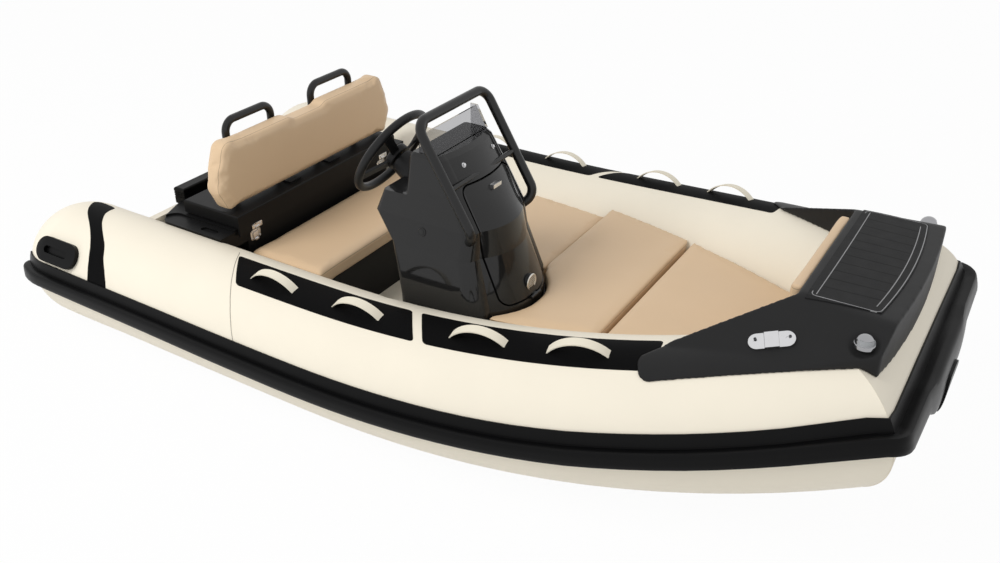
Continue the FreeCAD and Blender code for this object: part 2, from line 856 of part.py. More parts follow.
console_level_shares = (
    (0.0, 0.748, 0.954, 0.0463, 1.0, 0.27),
    (0.4111, 0.748, 0.954, 0.0463, 1.0, 0.27),
    (0.6182, 0.716, 0.92, 0.0388, 0.857, 0.23),
    (0.7254, 0.668, 0.918, 0.0286, 0.76, 0.2),
    (0.8177, 0.688, 0.892, 0.0197, 0.7203, 0.17),
    (0.8209, 0.745, 0.891, 0.0195, 0.7189, 0.17),
    (0.8532, 0.747, 0.882, 0.0163, 0.705, 0.16),
    (0.985, 0.7566, 0.8389, 0.0102, 0.681, 0.144),
    (1.0, 0.763, 0.828, 0.009, 0.654, 0.124))
console_aft_corner_share = 0.4


def round_corner(corner, before, after, radius):
    # A quarter round between two square sides; returns its ends and the arc
    first = corner + before * radius
    last = corner + after * radius
    middle = corner + (before + after) * (radius * (1 - math.sqrt(0.5)))
    return first, last, Part.Arc(first, middle, last).toShape()


def console_section(level_share, aft_share, side_share, crown_share, width_share, corner_share,
                    wall, z_lift):
    z = sole_height + (console_height - sole_height) * level_share + z_lift
    aft = console_reach_x * aft_share + wall
    side = console_reach_x * side_share - wall
    crown = console_reach_x * crown_share
    half = console_half_width * width_share - wall
    front_radius = console_half_width * corner_share
    aft_radius = front_radius * console_aft_corner_share
    low = console_centre_y - half
    high = console_centre_y + half
    forward = vec(1, 0, 0)
    port = vec(0, 1, 0)
    f_high = round_corner(vec(side, high, z), forward * -1, port * -1, front_radius)
    a_high = round_corner(vec(aft, high, z), port * -1, forward, aft_radius)
    a_low = round_corner(vec(aft, low, z), forward, port, aft_radius)
    f_low = round_corner(vec(side, low, z), port, forward * -1, front_radius)
    front = Part.Arc(f_low[0], vec(side + crown, console_centre_y, z), f_high[1]).toShape()
    edges = [
        front, f_high[2], Part.makeLine(f_high[0], a_high[1]), a_high[2],
        Part.makeLine(a_high[0], a_low[1]), a_low[2], Part.makeLine(a_low[0], f_low[1]), f_low[2]]
    return Part.Wire(edges)


def console_solid(wall):
    sections = []
    for row in console_level_shares:
        lift = -wall if row[0] == 1.0 else 0.0
        sections.append(console_section(*row, wall, lift))
    return Part.makeLoft(sections, True, True)


def console_body(wall):
    # The moulding follows the coaming and the collar where it stands against them
    clear = seat_gap + wall
    front_x = console_reach_x + overrun
    aft_x = console_reach_x * console_level_shares[3][1] - overrun
    lip_height = axis_z(front_x)
    solid = console_solid(wall)
    low = solid.common(between_tubes(aft_x, front_x, 0, lip_height, coaming_thickness + clear))
    high = solid.common(box_between(0, long_cut, -long_cut, long_cut, lip_height, long_cut))
    high = high.cut(mirrored(side_tube(clear)))
    return low.fuse(high).removeSplitter()


def door_prism(grow):
    half = door_half_width + grow
    bottom = door_bottom_height - grow
    top = door_top_height + grow
    x = console_reach_x * (console_level_shares[0][1] + console_level_shares[0][2]) / 2
    face = rounded_rectangle(x, console_centre_y - half, console_centre_y + half, bottom, top,
                             door_corner + grow)
    return face.extrude(vec(long_cut, 0, 0))


def rounded_rectangle(x, y0, y1, z0, z1, radius):
    corners = [vec(x, y0, z0), vec(x, y1, z0), vec(x, y1, z1), vec(x, y0, z1)]
    middle = vec(x, (y0 + y1) / 2, z0)
    points = [middle] + corners[1:] + corners[:1] + [middle]
    return Part.Face(bar_path(points, radius))


def console_shell():
    shell = console_body(0.0).cut(console_body(console_wall))
    return shell.cut(door_prism(door_gap))


def console_door():
    skin = console_solid(0.0).cut(console_solid(console_wall))
    return skin.common(door_prism(0.0))


def front_x_at(height):
    # Front face of the console on its centreline
    rows = console_level_shares
    share = (height - sole_height) / (console_height - sole_height)
    for low, high in zip(rows, rows[1:]):
        if share <= high[0]:
            blend = (share - low[0]) / (high[0] - low[0])
            low_x = low[2] + low[3]
            high_x = high[2] + high[3]
            return console_reach_x * (low_x + (high_x - low_x) * blend)
    return console_reach_x * (rows[-1][2] + rows[-1][3])


def aft_x_at(height):
    rows = console_level_shares
    share = (height - sole_height) / (console_height - sole_height)
    for low, high in zip(rows, rows[1:]):
        if share <= high[0]:
            blend = (share - low[0]) / (high[0] - low[0])
            return console_reach_x * (low[1] + (high[1] - low[1]) * blend)
    return console_reach_x * rows[-1][1]


def door_latch():
    z = door_top_height - door_corner
    x = front_x_at(z)
    bar = box_between(x - console_wall, x + door_latch_depth,
                      console_centre_y - door_latch_width / 2,
                      console_centre_y + door_latch_width / 2, z, z + door_latch_height)
    return bar.cut(console_solid(0.0))


def door_hinge_axis():
    height = door_bottom_height - door_gap / 2
    return vec(front_x_at(height) + door_hinge_radius + door_hinge_gap, console_centre_y, height)


def door_hinge(moving):
    # Three knuckles on the centreline of the door's lower edge, the middle one on the door
    axis = door_hinge_axis()
    half = door_knuckle_length / 2
    radius = door_hinge_radius
    web = radius * 0.6
    if moving:
        y0 = axis.y - half + pin_clearance
        y1 = axis.y + half - pin_clearance
        knuckle = cylinder_y(radius, axis.x, y0, y1, axis.z)
        arm = box_between(axis.x - 3 * radius, axis.x, y0, y1, door_bottom_height,
                          axis.z + radius)
        bore = cylinder_y(hinge_pin_radius * 0.6 + pin_clearance, axis.x, y0 - overrun,
                          y1 + overrun, axis.z)
        return knuckle.fuse(arm).cut(bore).cut(console_solid(0.0)).removeSplitter()
    pin = cylinder_y(hinge_pin_radius * 0.6, axis.x, axis.y - 3 * half, axis.y + 3 * half, axis.z)
    body = pin
    for y0 in (axis.y - 3 * half, axis.y + half):
        y1 = y0 + 2 * half
        arm = box_between(axis.x - 3 * radius, axis.x, y0, y1, axis.z - radius, axis.z - web / 2)
        body = body.fuse(cylinder_y(radius, axis.x, y0, y1, axis.z)).fuse(arm)
    return body.cut(console_solid(0.0)).removeSplitter()


def door_vent():
    z = door_bottom_height + door_vent_rise
    x = front_x_at(z)
    disc = Part.makeCylinder(door_vent_radius, console_wall + door_vent_depth,
                             vec(x - console_wall, console_centre_y, z), vec(1, 0, 0))
    return disc.cut(console_solid(0.0))


def console_level(level_share):
    return sole_height + (console_height - sole_height) * level_share


def console_rail():
    foot_x = console_reach_x * console_rail_foot_share
    foot_z = console_level(console_rail_foot_level_share)
    top_x = console_reach_x * console_rail_top_share
    top_z = console_height + console_rail_rise
    points = []
    for side in (-1, 1):
        y = console_centre_y + side * console_rail_half_width
        leg = [vec(console_reach_x * console_rail_end_share, y - side * console_rail_end_inset,
                   console_level(console_rail_end_level_share)),
               vec(foot_x, y, foot_z), vec(top_x, y, top_z)]
        points += leg if side < 0 else leg[::-1]
    rail = round_bar(points, console_rail_radius, console_rail_bend)
    stay_z = console_level(rail_stay_level_share)
    stay_x = foot_x + (top_x - foot_x) * (stay_z - foot_z) / (top_z - foot_z)
    stay = cylinder_y(rail_stay_radius, stay_x, console_centre_y - console_rail_half_width,
                      console_centre_y + console_rail_half_width, stay_z)
    return rail.fuse(stay).cut(console_solid(0.0))


def windscreen():
    # A bent sheet: a raked front pane with a wing turned aft on each side
    y0 = console_centre_y - screen_half_width
    y1 = console_centre_y + screen_half_width
    base = console_height
    top = console_height + screen_rise
    foot_x = console_reach_x * screen_foot_share
    wing_aft = foot_x - screen_wing_depth
    outer = Part.makePolygon([vec(foot_x, y0, base),
                              vec(console_reach_x * screen_top_share, y0, top),
                              vec(wing_aft, y0, top), vec(wing_aft, y0, base),
                              vec(foot_x, y0, base)])
    block = Part.Face(outer).extrude(vec(0, y1 - y0, 0))
    inner = block.copy()
    inner.translate(vec(-screen_thickness, 0, 0))
    inner = inner.common(box_between(0, long_cut, y0 + screen_thickness,
                                     y1 - screen_thickness, 0, long_cut))
    behind = box_between(0, wing_aft + screen_thickness, y0 + screen_thickness,
                         y1 - screen_thickness, 0, long_cut)
    return block.cut(inner).cut(behind)


# Steering

def wheel_frame():
    # The wheel's centre and its axis, which points up and aft to the driver
    axis = vec(-math.cos(math.radians(wheel_tilt)), 0, math.sin(math.radians(wheel_tilt)))
    centre = vec(console_reach_x * wheel_place_share, console_centre_y,
                 console_level(wheel_level_share))
    return centre, axis


def steering_column():
    # A tapered pod that grows out of the console, with the shaft at its tip
    centre, axis = wheel_frame()
    tip = centre - axis * (wheel_hub_depth / 2 + column_clearance)
    slope = (column_foot_radius - column_tip_radius) / column_length
    profile = bar_path([vec(0, 0, 0), vec(column_tip_radius, 0, 0),
                        vec(column_tip_radius + slope * column_length, 0, column_length),
                        vec(0, 0, column_length)], (column_round, column_round))
    closing = Part.makeLine(vec(0, 0, column_length), vec(0, 0, 0))
    outline = Part.Wire(profile.Edges + [closing])
    pod = Part.Face(outline).revolve(vec(0, 0, 0), vec(0, 0, 1), 360)
    pod.Placement = FreeCAD.Placement(tip, FreeCAD.Rotation(vec(0, 0, 1), axis * -1))
    pod = pod.cut(console_solid(0.0))
    shaft_length = column_clearance + wheel_hub_depth / 2
    shaft = Part.makeCylinder(column_shaft_radius, shaft_length, tip, axis)
    return pod.fuse(shaft).removeSplitter()


def wheel_spoke(turn):
    # A flat spoke that rises from the dished hub to the rim
    run = wheel_radius - wheel_rim_radius / 2
    half = wheel_spoke_thickness / 2
    profile = Part.makePolygon([
        vec(0, 0, -wheel_dish - half), vec(wheel_hub_radius, 0, -wheel_dish - half),
        vec(run, 0, -half), vec(run, 0, half), vec(wheel_hub_radius, 0, half - wheel_dish),
        vec(0, 0, half - wheel_dish), vec(0, 0, -wheel_dish - half)])
    profile.translate(vec(0, -wheel_spoke_width / 2, 0))
    spoke = Part.Face(profile).extrude(vec(0, wheel_spoke_width, 0))
    spoke.rotate(vec(0, 0, 0), vec(0, 0, 1), turn)
    return spoke


def steering_wheel():
    # The wheel's plane is the rim's; the hub lies deeper by the dish
    centre, axis = wheel_frame()
    wheel = Part.makeTorus(wheel_radius, wheel_rim_radius, vec(0, 0, wheel_dish), vec(0, 0, 1))
    for turn in wheel_spoke_turns:
        spoke = wheel_spoke(turn)
        spoke.translate(vec(0, 0, wheel_dish))
        wheel = wheel.fuse(spoke)
    hub = Part.makeCylinder(wheel_hub_radius, wheel_hub_depth, vec(0, 0, -wheel_hub_depth / 2))
    rims = [edge for edge in hub.Edges if edge.BoundBox.ZMin > 0]
    wheel = wheel.fuse(hub.makeFillet(column_round, rims))
    bore_depth = wheel_hub_depth / 2 + pin_clearance
    bore = Part.makeCylinder(column_shaft_radius + pin_clearance, bore_depth,
                             vec(0, 0, -wheel_hub_depth / 2))
    wheel = wheel.cut(bore).removeSplitter()
    wheel.rotate(vec(0, 0, 0), vec(0, 1, 0), -(90 - wheel_tilt))
    wheel.translate(centre)
    return wheel


# Forward base and cushions

def fore_base():
    end_x = bow_axis_x - bow_tube_radius
    side_height = fore_base_height - (fore_cushion_top - side_cushion_top)
    main = between_tubes(fore_seam_one_x, well_end_x, sole_height, fore_base_height,
                         -fore_base_overlap)
    ahead = between_tubes(well_end_x, end_x, tube_axis_height, fore_base_height,
                          -fore_base_overlap)
    side = between_tubes(fore_base_aft_x, fore_seam_one_x, sole_height, side_height,
                         -fore_base_overlap)
    port_only = box_between(fore_base_aft_x, fore_seam_one_x, fore_base_inner_y,
                            tube_half_spacing, sole_height, side_height)
    body = main.fuse(ahead).fuse(side.common(port_only))
    body = cut_collar(body, seat_gap)
    body = body.cut(hull())
    body = body.cut(console_solid(-cushion_gap))
    return body.removeSplitter()


def soft_between(x0, x1, bottom, top, y0):
    wide = tube_half_spacing
    pad = box_between(x0, x1, y0, wide, bottom, top)
    pad = cut_collar(pad, cushion_gap)
    return pad.cut(console_solid(-cushion_gap))


def fore_cushions():
    gap = cushion_cushion_gap / 2
    wide = tube_half_spacing
    first = soft_between(fore_seam_one_x + gap, fore_seam_two_x - gap, fore_base_height,
                         fore_cushion_top, -wide)
    second = soft_between(fore_seam_two_x + gap, fore_cushion_end_x, fore_base_height,
                          fore_cushion_top, -wide)
    low = fore_base_height - (fore_cushion_top - side_cushion_top)
    side = soft_between(fore_base_aft_x, fore_seam_one_x - gap, low, side_cushion_top,
                        fore_base_inner_y + cushion_gap)
    return first, second, side


# Bow cover

def cover_plan():
    # Outline from above: a straight aft edge, two rounded wings and a crowned front
    half = [vec(cover_aft_x, 0, 0), vec(cover_aft_x, cover_deck_half_width, 0),
            vec(cover_knee_x, cover_knee_y, 0), vec(cover_tip_x, cover_tip_y, 0),
            vec(cover_tip_outer_x, cover_tip_outer_y, 0), vec(cover_corner_x, cover_corner_y, 0)]
    port = bar_path(half, (cover_tip_round / 2, cover_tip_round, cover_tip_round,
                           cover_tip_round))
    starboard = mirrored(port)
    front = Part.Arc(half[-1], vec(cover_front_x, 0, 0),
                     vec(cover_corner_x, -cover_corner_y, 0)).toShape()
    return Part.Face(Part.Wire(Part.__sortEdges__(port.Edges + starboard.Edges + [front])))


def cover_slope():
    # A point and the upward normal of the plane that falls from the deck to the port wing
    first = vec(cover_aft_x, cover_deck_half_width, cover_height)
    second = vec(cover_knee_x, cover_knee_y, cover_knee_height)
    corner_z = axis_z(cover_corner_x) + radius_at(cover_corner_x)
    third = vec(cover_corner_x, cover_corner_y, corner_z)
    normal = (second - first).cross(third - first)
    normal.normalize()
    return first, normal if normal.z > 0 else normal * -1


def under_slope():
    # All that lies under the deck's plane and the port slope, with the crease between rounded
    point, normal = cover_slope()
    crease = vec(0, 0, 1).cross(normal).normalize()
    reach = long_cut / 4
    inward = crease.cross(vec(0, 0, 1)).normalize() * reach
    if inward.y > 0:
        inward = inward * -1
    downhill = crease.cross(normal).normalize() * reach
    if downhill.z > 0:
        downhill = downhill * -1
    deck_side = point + inward
    low_side = point + downhill
    top = bar_path([deck_side, point, low_side], cover_crease_round)
    deep = vec(0, 0, -reach)
    walls = [Part.makeLine(low_side, low_side + deep),
             Part.makeLine(low_side + deep, deck_side + deep + deep),
             Part.makeLine(deck_side + deep + deep, deck_side)]
    profile = Part.Face(Part.Wire(Part.__sortEdges__(top.Edges + walls)))
    profile.translate(crease * -reach)
    return profile.extrude(crease * (2 * reach))


def cover_body():
    port = under_slope()
    body = cover_plan().extrude(vec(0, 0, cover_height))
    return body.common(port).common(mirrored(port))


def cover_wing():
    # The part of the wing that lies on the collar as a thin sheet
    low = fore_cushion_top + cushion_gap
    plan = cover_plan().extrude(vec(0, 0, cover_height - low))
    plan.translate(vec(0, 0, low))
    return side_tube(cover_skin, mitre_lap).common(plan)


def slope_frame(x, y, turn):
    # A place on the port wing's plane, its Z along the normal, turned about it
    point, normal = cover_slope()
    place = vec(x, y, cover_slope_height(x, y))
    tilt = FreeCAD.Rotation(vec(0, 0, 1), normal)
    return FreeCAD.Placement(place, tilt.multiply(FreeCAD.Rotation(vec(0, 0, 1), turn)))


def nav_recess():
    well = Part.makeCylinder(nav_recess_radius, 2 * nav_recess_depth, vec(0, 0, -nav_recess_depth))
    well.Placement = slope_frame(nav_light_x, nav_light_y, 0)
    return well


def bow_cover():
    above = box_between(0, long_cut, -long_cut / 2, long_cut / 2,
                        fore_cushion_top + cushion_gap, cover_height)
    wing = cover_wing()
    body = cover_body().common(above).fuse(wing).fuse(mirrored(wing))
    recess = nav_recess()
    body = cut_collar(body, seat_gap)
    return body.cut(recess).cut(mirrored(recess)).removeSplitter()


def tread_mat():
    half = [vec(mat_aft_x, mat_half_width, cover_height),
            vec(mat_front_x, mat_front_half_width, cover_height)]
    other = [vec(p.x, -p.y, p.z) for p in reversed(half)]
    crown = vec(mat_crown_x, 0, cover_height)
    edges = [Part.makeLine(half[0], half[1]), Part.Arc(half[1], crown, other[0]).toShape(),
             Part.makeLine(other[0], other[1]), Part.makeLine(other[1], half[0])]
    return Part.Face(Part.Wire(edges)).extrude(vec(0, 0, mat_thickness))


def bow_bolster():
    pad = box_between(cover_aft_x - bolster_thickness, cover_aft_x, -bolster_half_width,
                      bolster_half_width, bow_axis_height + bow_tube_radius / 2, bolster_top)
    return pad.cut(bow_tube(seat_gap))


def cover_slope_height(x, y):
    point, normal = cover_slope()
    return point.z - (normal.x * (x - point.x) + normal.y * (y - point.y)) / normal.z


def nav_light():
    # A short upright lamp with a domed top, seated in its recess
    z = cover_slope_height(nav_light_x, nav_light_y)
    foot = vec(nav_light_x, nav_light_y, z - nav_light_height / 2)
    post = Part.makeCylinder(nav_light_radius, nav_light_height, foot)
    ball = Part.makeSphere(nav_light_radius, vec(nav_light_x, nav_light_y, z + nav_light_height / 2))
    light = post.fuse(ball)
    return light.cut(cover_body().cut(nav_recess())).removeSplitter()


def cleat():
    # A low oval cleat with a raised bar across it and a screw seat at each end
    plate = rounded_plate(cleat_length, cleat_width, cleat_thickness)
    rims = [edge for edge in plate.Edges if edge.BoundBox.XMin > cleat_thickness / 2]
    plate = plate.makeFillet(cleat_round, rims)
    bar = box_between(0, cleat_thickness + cleat_bar_rise, -cleat_bar_length / 2,
                      cleat_bar_length / 2, -cleat_width / 2, cleat_width / 2)
    edges = [edge for edge in bar.Edges if edge.BoundBox.XMin > cleat_thickness]
    body = plate.fuse(bar.makeFillet(cleat_round, edges))
    for side in (-1, 1):
        seat = Part.makeCylinder(cleat_screw_radius, cleat_thickness,
                                 vec(cleat_thickness - cleat_screw_depth,
                                     side * (cleat_length + cleat_bar_length) / 4, 0),
                                 vec(1, 0, 0))
        body = body.cut(seat)
    body.rotate(vec(0, 0, 0), vec(0, 1, 0), -90)
    body.rotate(vec(0, 0, 0), vec(0, 0, 1), 90)
    direction = axis_direction(cleat_x)
    turn = math.degrees(math.atan2(direction.y, direction.x))
    body.Placement = slope_frame(cleat_x, cleat_y, turn).multiply(body.Placement)
    return body.removeSplitter()


# Eyes

def eye_plate():
    ring = Part.makeCylinder(eye_ring, eye_thickness, vec(0, -eye_thickness / 2, 0), vec(0, 1, 0))
    tab = box_between(-eye_ring, 0, -eye_thickness / 2, eye_thickness / 2, -eye_ring, eye_ring)
    bore = Part.makeCylinder(eye_bore, long_cut, vec(0, -long_cut / 2, 0), vec(0, 1, 0))
    return ring.fuse(tab).cut(bore)


def stern_eye():
    # The bore stands upright, so that a shackle clears the collar
    eye = eye_plate()
    eye.rotate(vec(0, 0, 0), vec(0, 0, 1), 180)
    eye.rotate(vec(0, 0, 0), vec(1, 0, 0), 90)
    eye.translate(vec(-eye_ring, stern_eye_y, stern_eye_height))
    return eye


def bow_eye():
    eye = eye_plate()
    eye.translate(vec(bow_eye_x, 0, bow_eye_height))
    return eye.cut(hull_body())


def build():
    port_tube = side_tube(0.0)
    port_rail = side_rail()
    collar_skin = side_tube(seat_gap)
    port_straps = Part.makeCompound([strap(x).cut(collar_skin) for x in strap_station_x])
    port_end = tube_end(0.0)
    grip = end_grip()
    first, second, side = fore_cushions()
    keeper = latch_keeper()
    nodes = {
        "hull": hull(),
        "transom": transom(),
        "tube_port": port_tube,
        "tube_starboard": mirrored(port_tube),
        "tube_bow": bow_tube(0.0),
        "tube_end_port": port_end,
        "tube_end_starboard": mirrored(port_end),
        "rub_rail_port": port_rail,
        "rub_rail_starboard": mirrored(port_rail),
        "rub_rail_bow": bow_rail(),
        "straps_port": port_straps,
        "straps_starboard": mirrored(port_straps),
        "end_grips": pair(grip),
        "bow_grip": bow_grip(),
        "stern_deck": stern_deck(),
        "engine_pad": engine_pad(),
        "stern_locker": stern_locker(),
        "lid_hinges_fixed": lid_hinges("deck"),
        "locker_lid": locker_lid(),
        "lid_hinges_moving": lid_hinges("lid"),
        "backrest": backrest(),
        "backrest_clips": pair(backrest_bracket()),
        "hand_holds": pair(hand_hold()),
        "latch_bodies": pair(latch_body()),
        "latch_keepers": pair(keeper),
        "bench_base": bench_base(),
        "bench_cushion": bench_cushion(),
        "console": console_shell(),
        "console_door": console_door(),
        "door_latch": door_latch(),
        "console_rail": console_rail(),
        "windscreen": windscreen(),
        "steering_column": steering_column(),
        "steering_wheel": steering_wheel(),
        "door_vent": door_vent(),
        "door_hinge_fixed": door_hinge(False),
        "door_hinge_moving": door_hinge(True),
        "fore_base": fore_base(),
        "cushion_fore_aft": first,
        "cushion_fore_bow": second,
        "cushion_side": side,
        "bow_cover": bow_cover(),
        "tread_mat": tread_mat(),
        "bow_bolster": bow_bolster(),
        "nav_lights": pair(nav_light()),
        "cleats": pair(cleat()),
        "stern_eyes": pair(stern_eye()),
        "bow_eye": bow_eye(),
    }
    return nodes


os.makedirs("parts", exist_ok=True)
for name, shape in build().items():
    solids = [s for s in shape.Solids]
    print(name, len(solids), shape.isValid(), round(shape.Volume / 1e6, 2))
    shape.exportStep("parts/" + name + ".step")
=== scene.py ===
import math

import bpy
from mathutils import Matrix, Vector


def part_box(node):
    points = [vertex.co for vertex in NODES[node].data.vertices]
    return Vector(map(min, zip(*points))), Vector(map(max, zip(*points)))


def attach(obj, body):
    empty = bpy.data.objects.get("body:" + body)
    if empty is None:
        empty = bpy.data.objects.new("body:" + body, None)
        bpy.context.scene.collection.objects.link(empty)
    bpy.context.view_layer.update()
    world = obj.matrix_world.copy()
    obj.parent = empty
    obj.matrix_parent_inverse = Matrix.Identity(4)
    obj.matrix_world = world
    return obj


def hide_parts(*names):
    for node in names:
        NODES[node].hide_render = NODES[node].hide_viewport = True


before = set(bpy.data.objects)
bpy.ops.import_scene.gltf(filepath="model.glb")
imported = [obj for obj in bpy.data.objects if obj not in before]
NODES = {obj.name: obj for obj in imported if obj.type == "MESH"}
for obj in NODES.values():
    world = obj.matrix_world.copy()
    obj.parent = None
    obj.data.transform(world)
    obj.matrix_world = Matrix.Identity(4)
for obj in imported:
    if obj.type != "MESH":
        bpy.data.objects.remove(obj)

# %% [markdown]
# # A small rigid inflatable boat, dressed
#
# The CAD frame gives every piece its place. This lesson adds what the frame leaves out:
# coated fabric, vinyl cushions, gloss mouldings, polished fittings, a camera and soft light.
# Everything is in metres: +X points to the bow, +Y to port, and z = 0 is the waterline.

UP = Vector((0.0, 0.0, 1.0))
FORWARD = Vector((1.0, 0.0, 0.0))
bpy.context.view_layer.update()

# %% [markdown]
# ## Shader arithmetic
#
# A node tree is easier to read as an expression. The small class below wraps one socket, so
# that `mask * 0.4 + 0.1` adds the two Math nodes. Each finish gets one Principled shader, and
# a single method adds any other node.

# %% A socket that does sums
class Wire:
    def __init__(self, finish, socket):
        self.finish = finish
        self.socket = socket

    def sum_with(self, operation, other=None, reverse=False):
        first, second = (other, self) if reverse else (self, other)
        return self.finish.node("ShaderNodeMath", {"operation": operation}, first, second)

    def __add__(self, other):
        return self.sum_with("ADD", other)

    def __radd__(self, other):
        return self.sum_with("ADD", other, True)

    def __sub__(self, other):
        return self.sum_with("SUBTRACT", other)

    def __rsub__(self, other):
        return self.sum_with("SUBTRACT", other, True)

    def __mul__(self, other):
        return self.sum_with("MULTIPLY", other)

    def __truediv__(self, other):
        return self.sum_with("DIVIDE", other)

    def __abs__(self):
        return self.sum_with("ABSOLUTE")

    def above(self, limit):
        return self.sum_with("GREATER_THAN", limit)

    def below(self, limit):
        return self.sum_with("LESS_THAN", limit)

    def largest(self, other):
        return self.sum_with("MAXIMUM", other)

    def fraction(self):
        return self.sum_with("FRACT")

    def root(self):
        return self.sum_with("SQRT")


# %% A finish: one shader and the nodes that feed it
def toned(color, share):
    return tuple(c * share for c in color)


class Finish:
    def __init__(self, name, color, roughness, **constants):
        self.material = bpy.data.materials.new(name)
        self.material.use_nodes = True
        self.tree = self.material.node_tree
        self.shader = self.tree.nodes["Principled BSDF"]
        self.set("Base Color", color)
        self.set("Roughness", roughness)
        for key, value in constants.items():
            self.set(key.replace("_", " "), value)

    def set(self, name, value):
        socket = self.shader.inputs[name]
        if isinstance(value, Wire):
            self.tree.links.new(value.socket, socket)
        elif isinstance(value, tuple) and len(value) == 3 and socket.type == "RGBA":
            socket.default_value = (*value, 1.0)
        else:
            socket.default_value = value

    def node(self, kind, settings=None, *values, output=0, **named):
        made = self.tree.nodes.new(kind)
        for key, value in (settings or {}).items():
            setattr(made, key, value)
        fill = list(zip(made.inputs, values))
        fill += [(made.inputs[key.replace("_", " ")], value) for key, value in named.items()]
        for socket, value in fill:
            if isinstance(value, Wire):
                self.tree.links.new(value.socket, socket)
            elif value is not None:
                socket.default_value = value
        return Wire(self, made.outputs[output])

    def place(self):
        return self.node("ShaderNodeTexCoord", output="Object")

    def axes(self, where=None):
        split = self.node("ShaderNodeSeparateXYZ", None, where or self.place())
        outputs = split.socket.node.outputs
        return [Wire(self, outputs[axis]) for axis in "XYZ"]

    def noise(self, scale, detail=2.0):
        return self.node("ShaderNodeTexNoise", None, Vector=self.place(), Scale=scale,
                         Detail=detail)

    def mix(self, factor, first, second):
        made = self.tree.nodes.new("ShaderNodeMix")
        made.data_type = "RGBA"
        for name, value in (("Factor", factor), ("A", first), ("B", second)):
            kinds = ("VALUE",) if name == "Factor" else ("RGBA",)
            socket = next(s for s in made.inputs if s.name == name and s.type in kinds)
            if isinstance(value, Wire):
                self.tree.links.new(value.socket, socket)
            elif isinstance(value, tuple):
                socket.default_value = (*value, 1.0)
            else:
                socket.default_value = value
        return Wire(self, next(s for s in made.outputs if s.type == "RGBA"))

    def bump(self, height, strength, distance):
        normal = self.node("ShaderNodeBump", None, Strength=strength, Distance=distance,
                           Height=height)
        self.set("Normal", normal)

    def speckle(self, color, spread, scale):
        self.set("Base Color", self.mix(self.noise(scale, 4.0), toned(color, 1 - spread),
                                        toned(color, 1 + spread)))


print("shader helpers ready")

# %% [markdown]
# ## Finishes
#
# The collar is coated fabric: matt, with a fine cloth grain under the coating. The cushions
# are marine vinyl with a pebbled grain. The helm is gloss gel coat, and the lid, the deck
# and the bow cover are moulded plastic with a soft sheen.

# %% Collar fabric, in cream and black
CREAM = (0.90, 0.835, 0.70)
BLACK = (0.0035, 0.0035, 0.0037)


def coated_fabric(name, color, roughness, gleam=0.35):
    finish = Finish(name, color, roughness, Specular_IOR_Level=gleam)
    finish.speckle(color, 0.025, 6.0)
    weave = finish.noise(900.0, 2.0) * 0.6 + finish.noise(140.0, 3.0) * 0.4
    finish.bump(weave, 0.18, 0.0004)
    finish.set("Roughness", finish.noise(9.0, 3.0) * 0.12 + (roughness - 0.06))
    return finish


fabric_cream = coated_fabric("collar fabric cream", CREAM, 0.5)
fabric_black = coated_fabric("collar fabric black", BLACK, 0.6, 0.04)
webbing = coated_fabric("strap webbing cream", (0.86, 0.80, 0.66), 0.6)
# The lapped seam's strip is a grey darker than the cream collar.
lap_seam_grey = coated_fabric("seam edge grey", (0.36, 0.33, 0.28), 0.6)
rubber = coated_fabric("rub rail rubber", (0.003, 0.003, 0.0032), 0.34, 0.11)
print("fabric finishes", [f.material.name for f in (fabric_cream, fabric_black, webbing, rubber)])

# %% Vinyl, mouldings, metal and the smoked pane
TAN = (0.72, 0.525, 0.335)
SMOKE = (0.50, 0.50, 0.51)
SEAM_HALF, STITCH_OFFSET, STITCH_HALF = 0.0011, 0.0045, 0.0007
STITCHES_A_METRE, STITCH_SHARE = 160.0, 0.62


def vinyl(name, color, seam_axis="Z", seam_level=0.0):
    """Pebbled vinyl with one sewn seam round the pad, at a level on the given axis, with painted
    shade in the seam's groove.
    """
    finish = Finish(name, color, 0.45, Coat_Roughness=0.4)
    places = dict(zip("XYZ", finish.axes()))
    from_seam = places.pop(seam_axis) - seam_level
    run = sum(places.values(), 0.0)
    groove = abs(from_seam).below(SEAM_HALF)
    dashes = (run * STITCHES_A_METRE).fraction().below(STITCH_SHARE)
    stitch = abs(from_seam + STITCH_OFFSET).below(STITCH_HALF) * dashes
    mottle = finish.mix(finish.noise(5.0, 4.0), toned(color, 0.965), toned(color, 1.035))
    # Painted shade: the seam's groove is darkened in colour as well as sunk by the bump.
    shaded_seam_tone = finish.mix(groove * 0.55, mottle, toned(color, 0.35))
    finish.set("Base Color", finish.mix(stitch * 0.6, shaded_seam_tone, toned(color, 1.2)))
    pebbles = finish.node("ShaderNodeTexVoronoi", {"feature": "SMOOTH_F1"},
                          Vector=finish.place(), Scale=420.0)
    grain = pebbles * 0.25 + finish.noise(1100.0) * 0.1
    finish.bump(grain - groove + stitch * 0.8, 0.5, 0.0007)
    finish.set("Roughness", finish.noise(14.0, 4.0) * 0.14 + 0.4)
    return finish


def moulding(name, color, roughness, grain, gleam, coat=0.0):
    """Moulded plastic: the depth of its grain, its skin's gleam and any clear coat."""
    finish = Finish(name, color, roughness, Specular_IOR_Level=gleam, Coat_Weight=coat,
                    Coat_Roughness=0.06)
    finish.speckle(color, 0.08, 11.0)
    finish.bump(finish.noise(700.0, 3.0), grain, 0.0004)
    finish.set("Roughness", finish.noise(17.0, 4.0) * 0.1 + (roughness - 0.05))
    return finish


def metal(name, color, roughness):
    finish = Finish(name, color, roughness, Metallic=1.0)
    finish.speckle(color, 0.05, 40.0)
    finish.bump(finish.noise(260.0, 4.0), 0.05, 0.0003)
    finish.set("Roughness", finish.noise(60.0, 4.0) * 0.1 + (roughness - 0.05))
    return finish


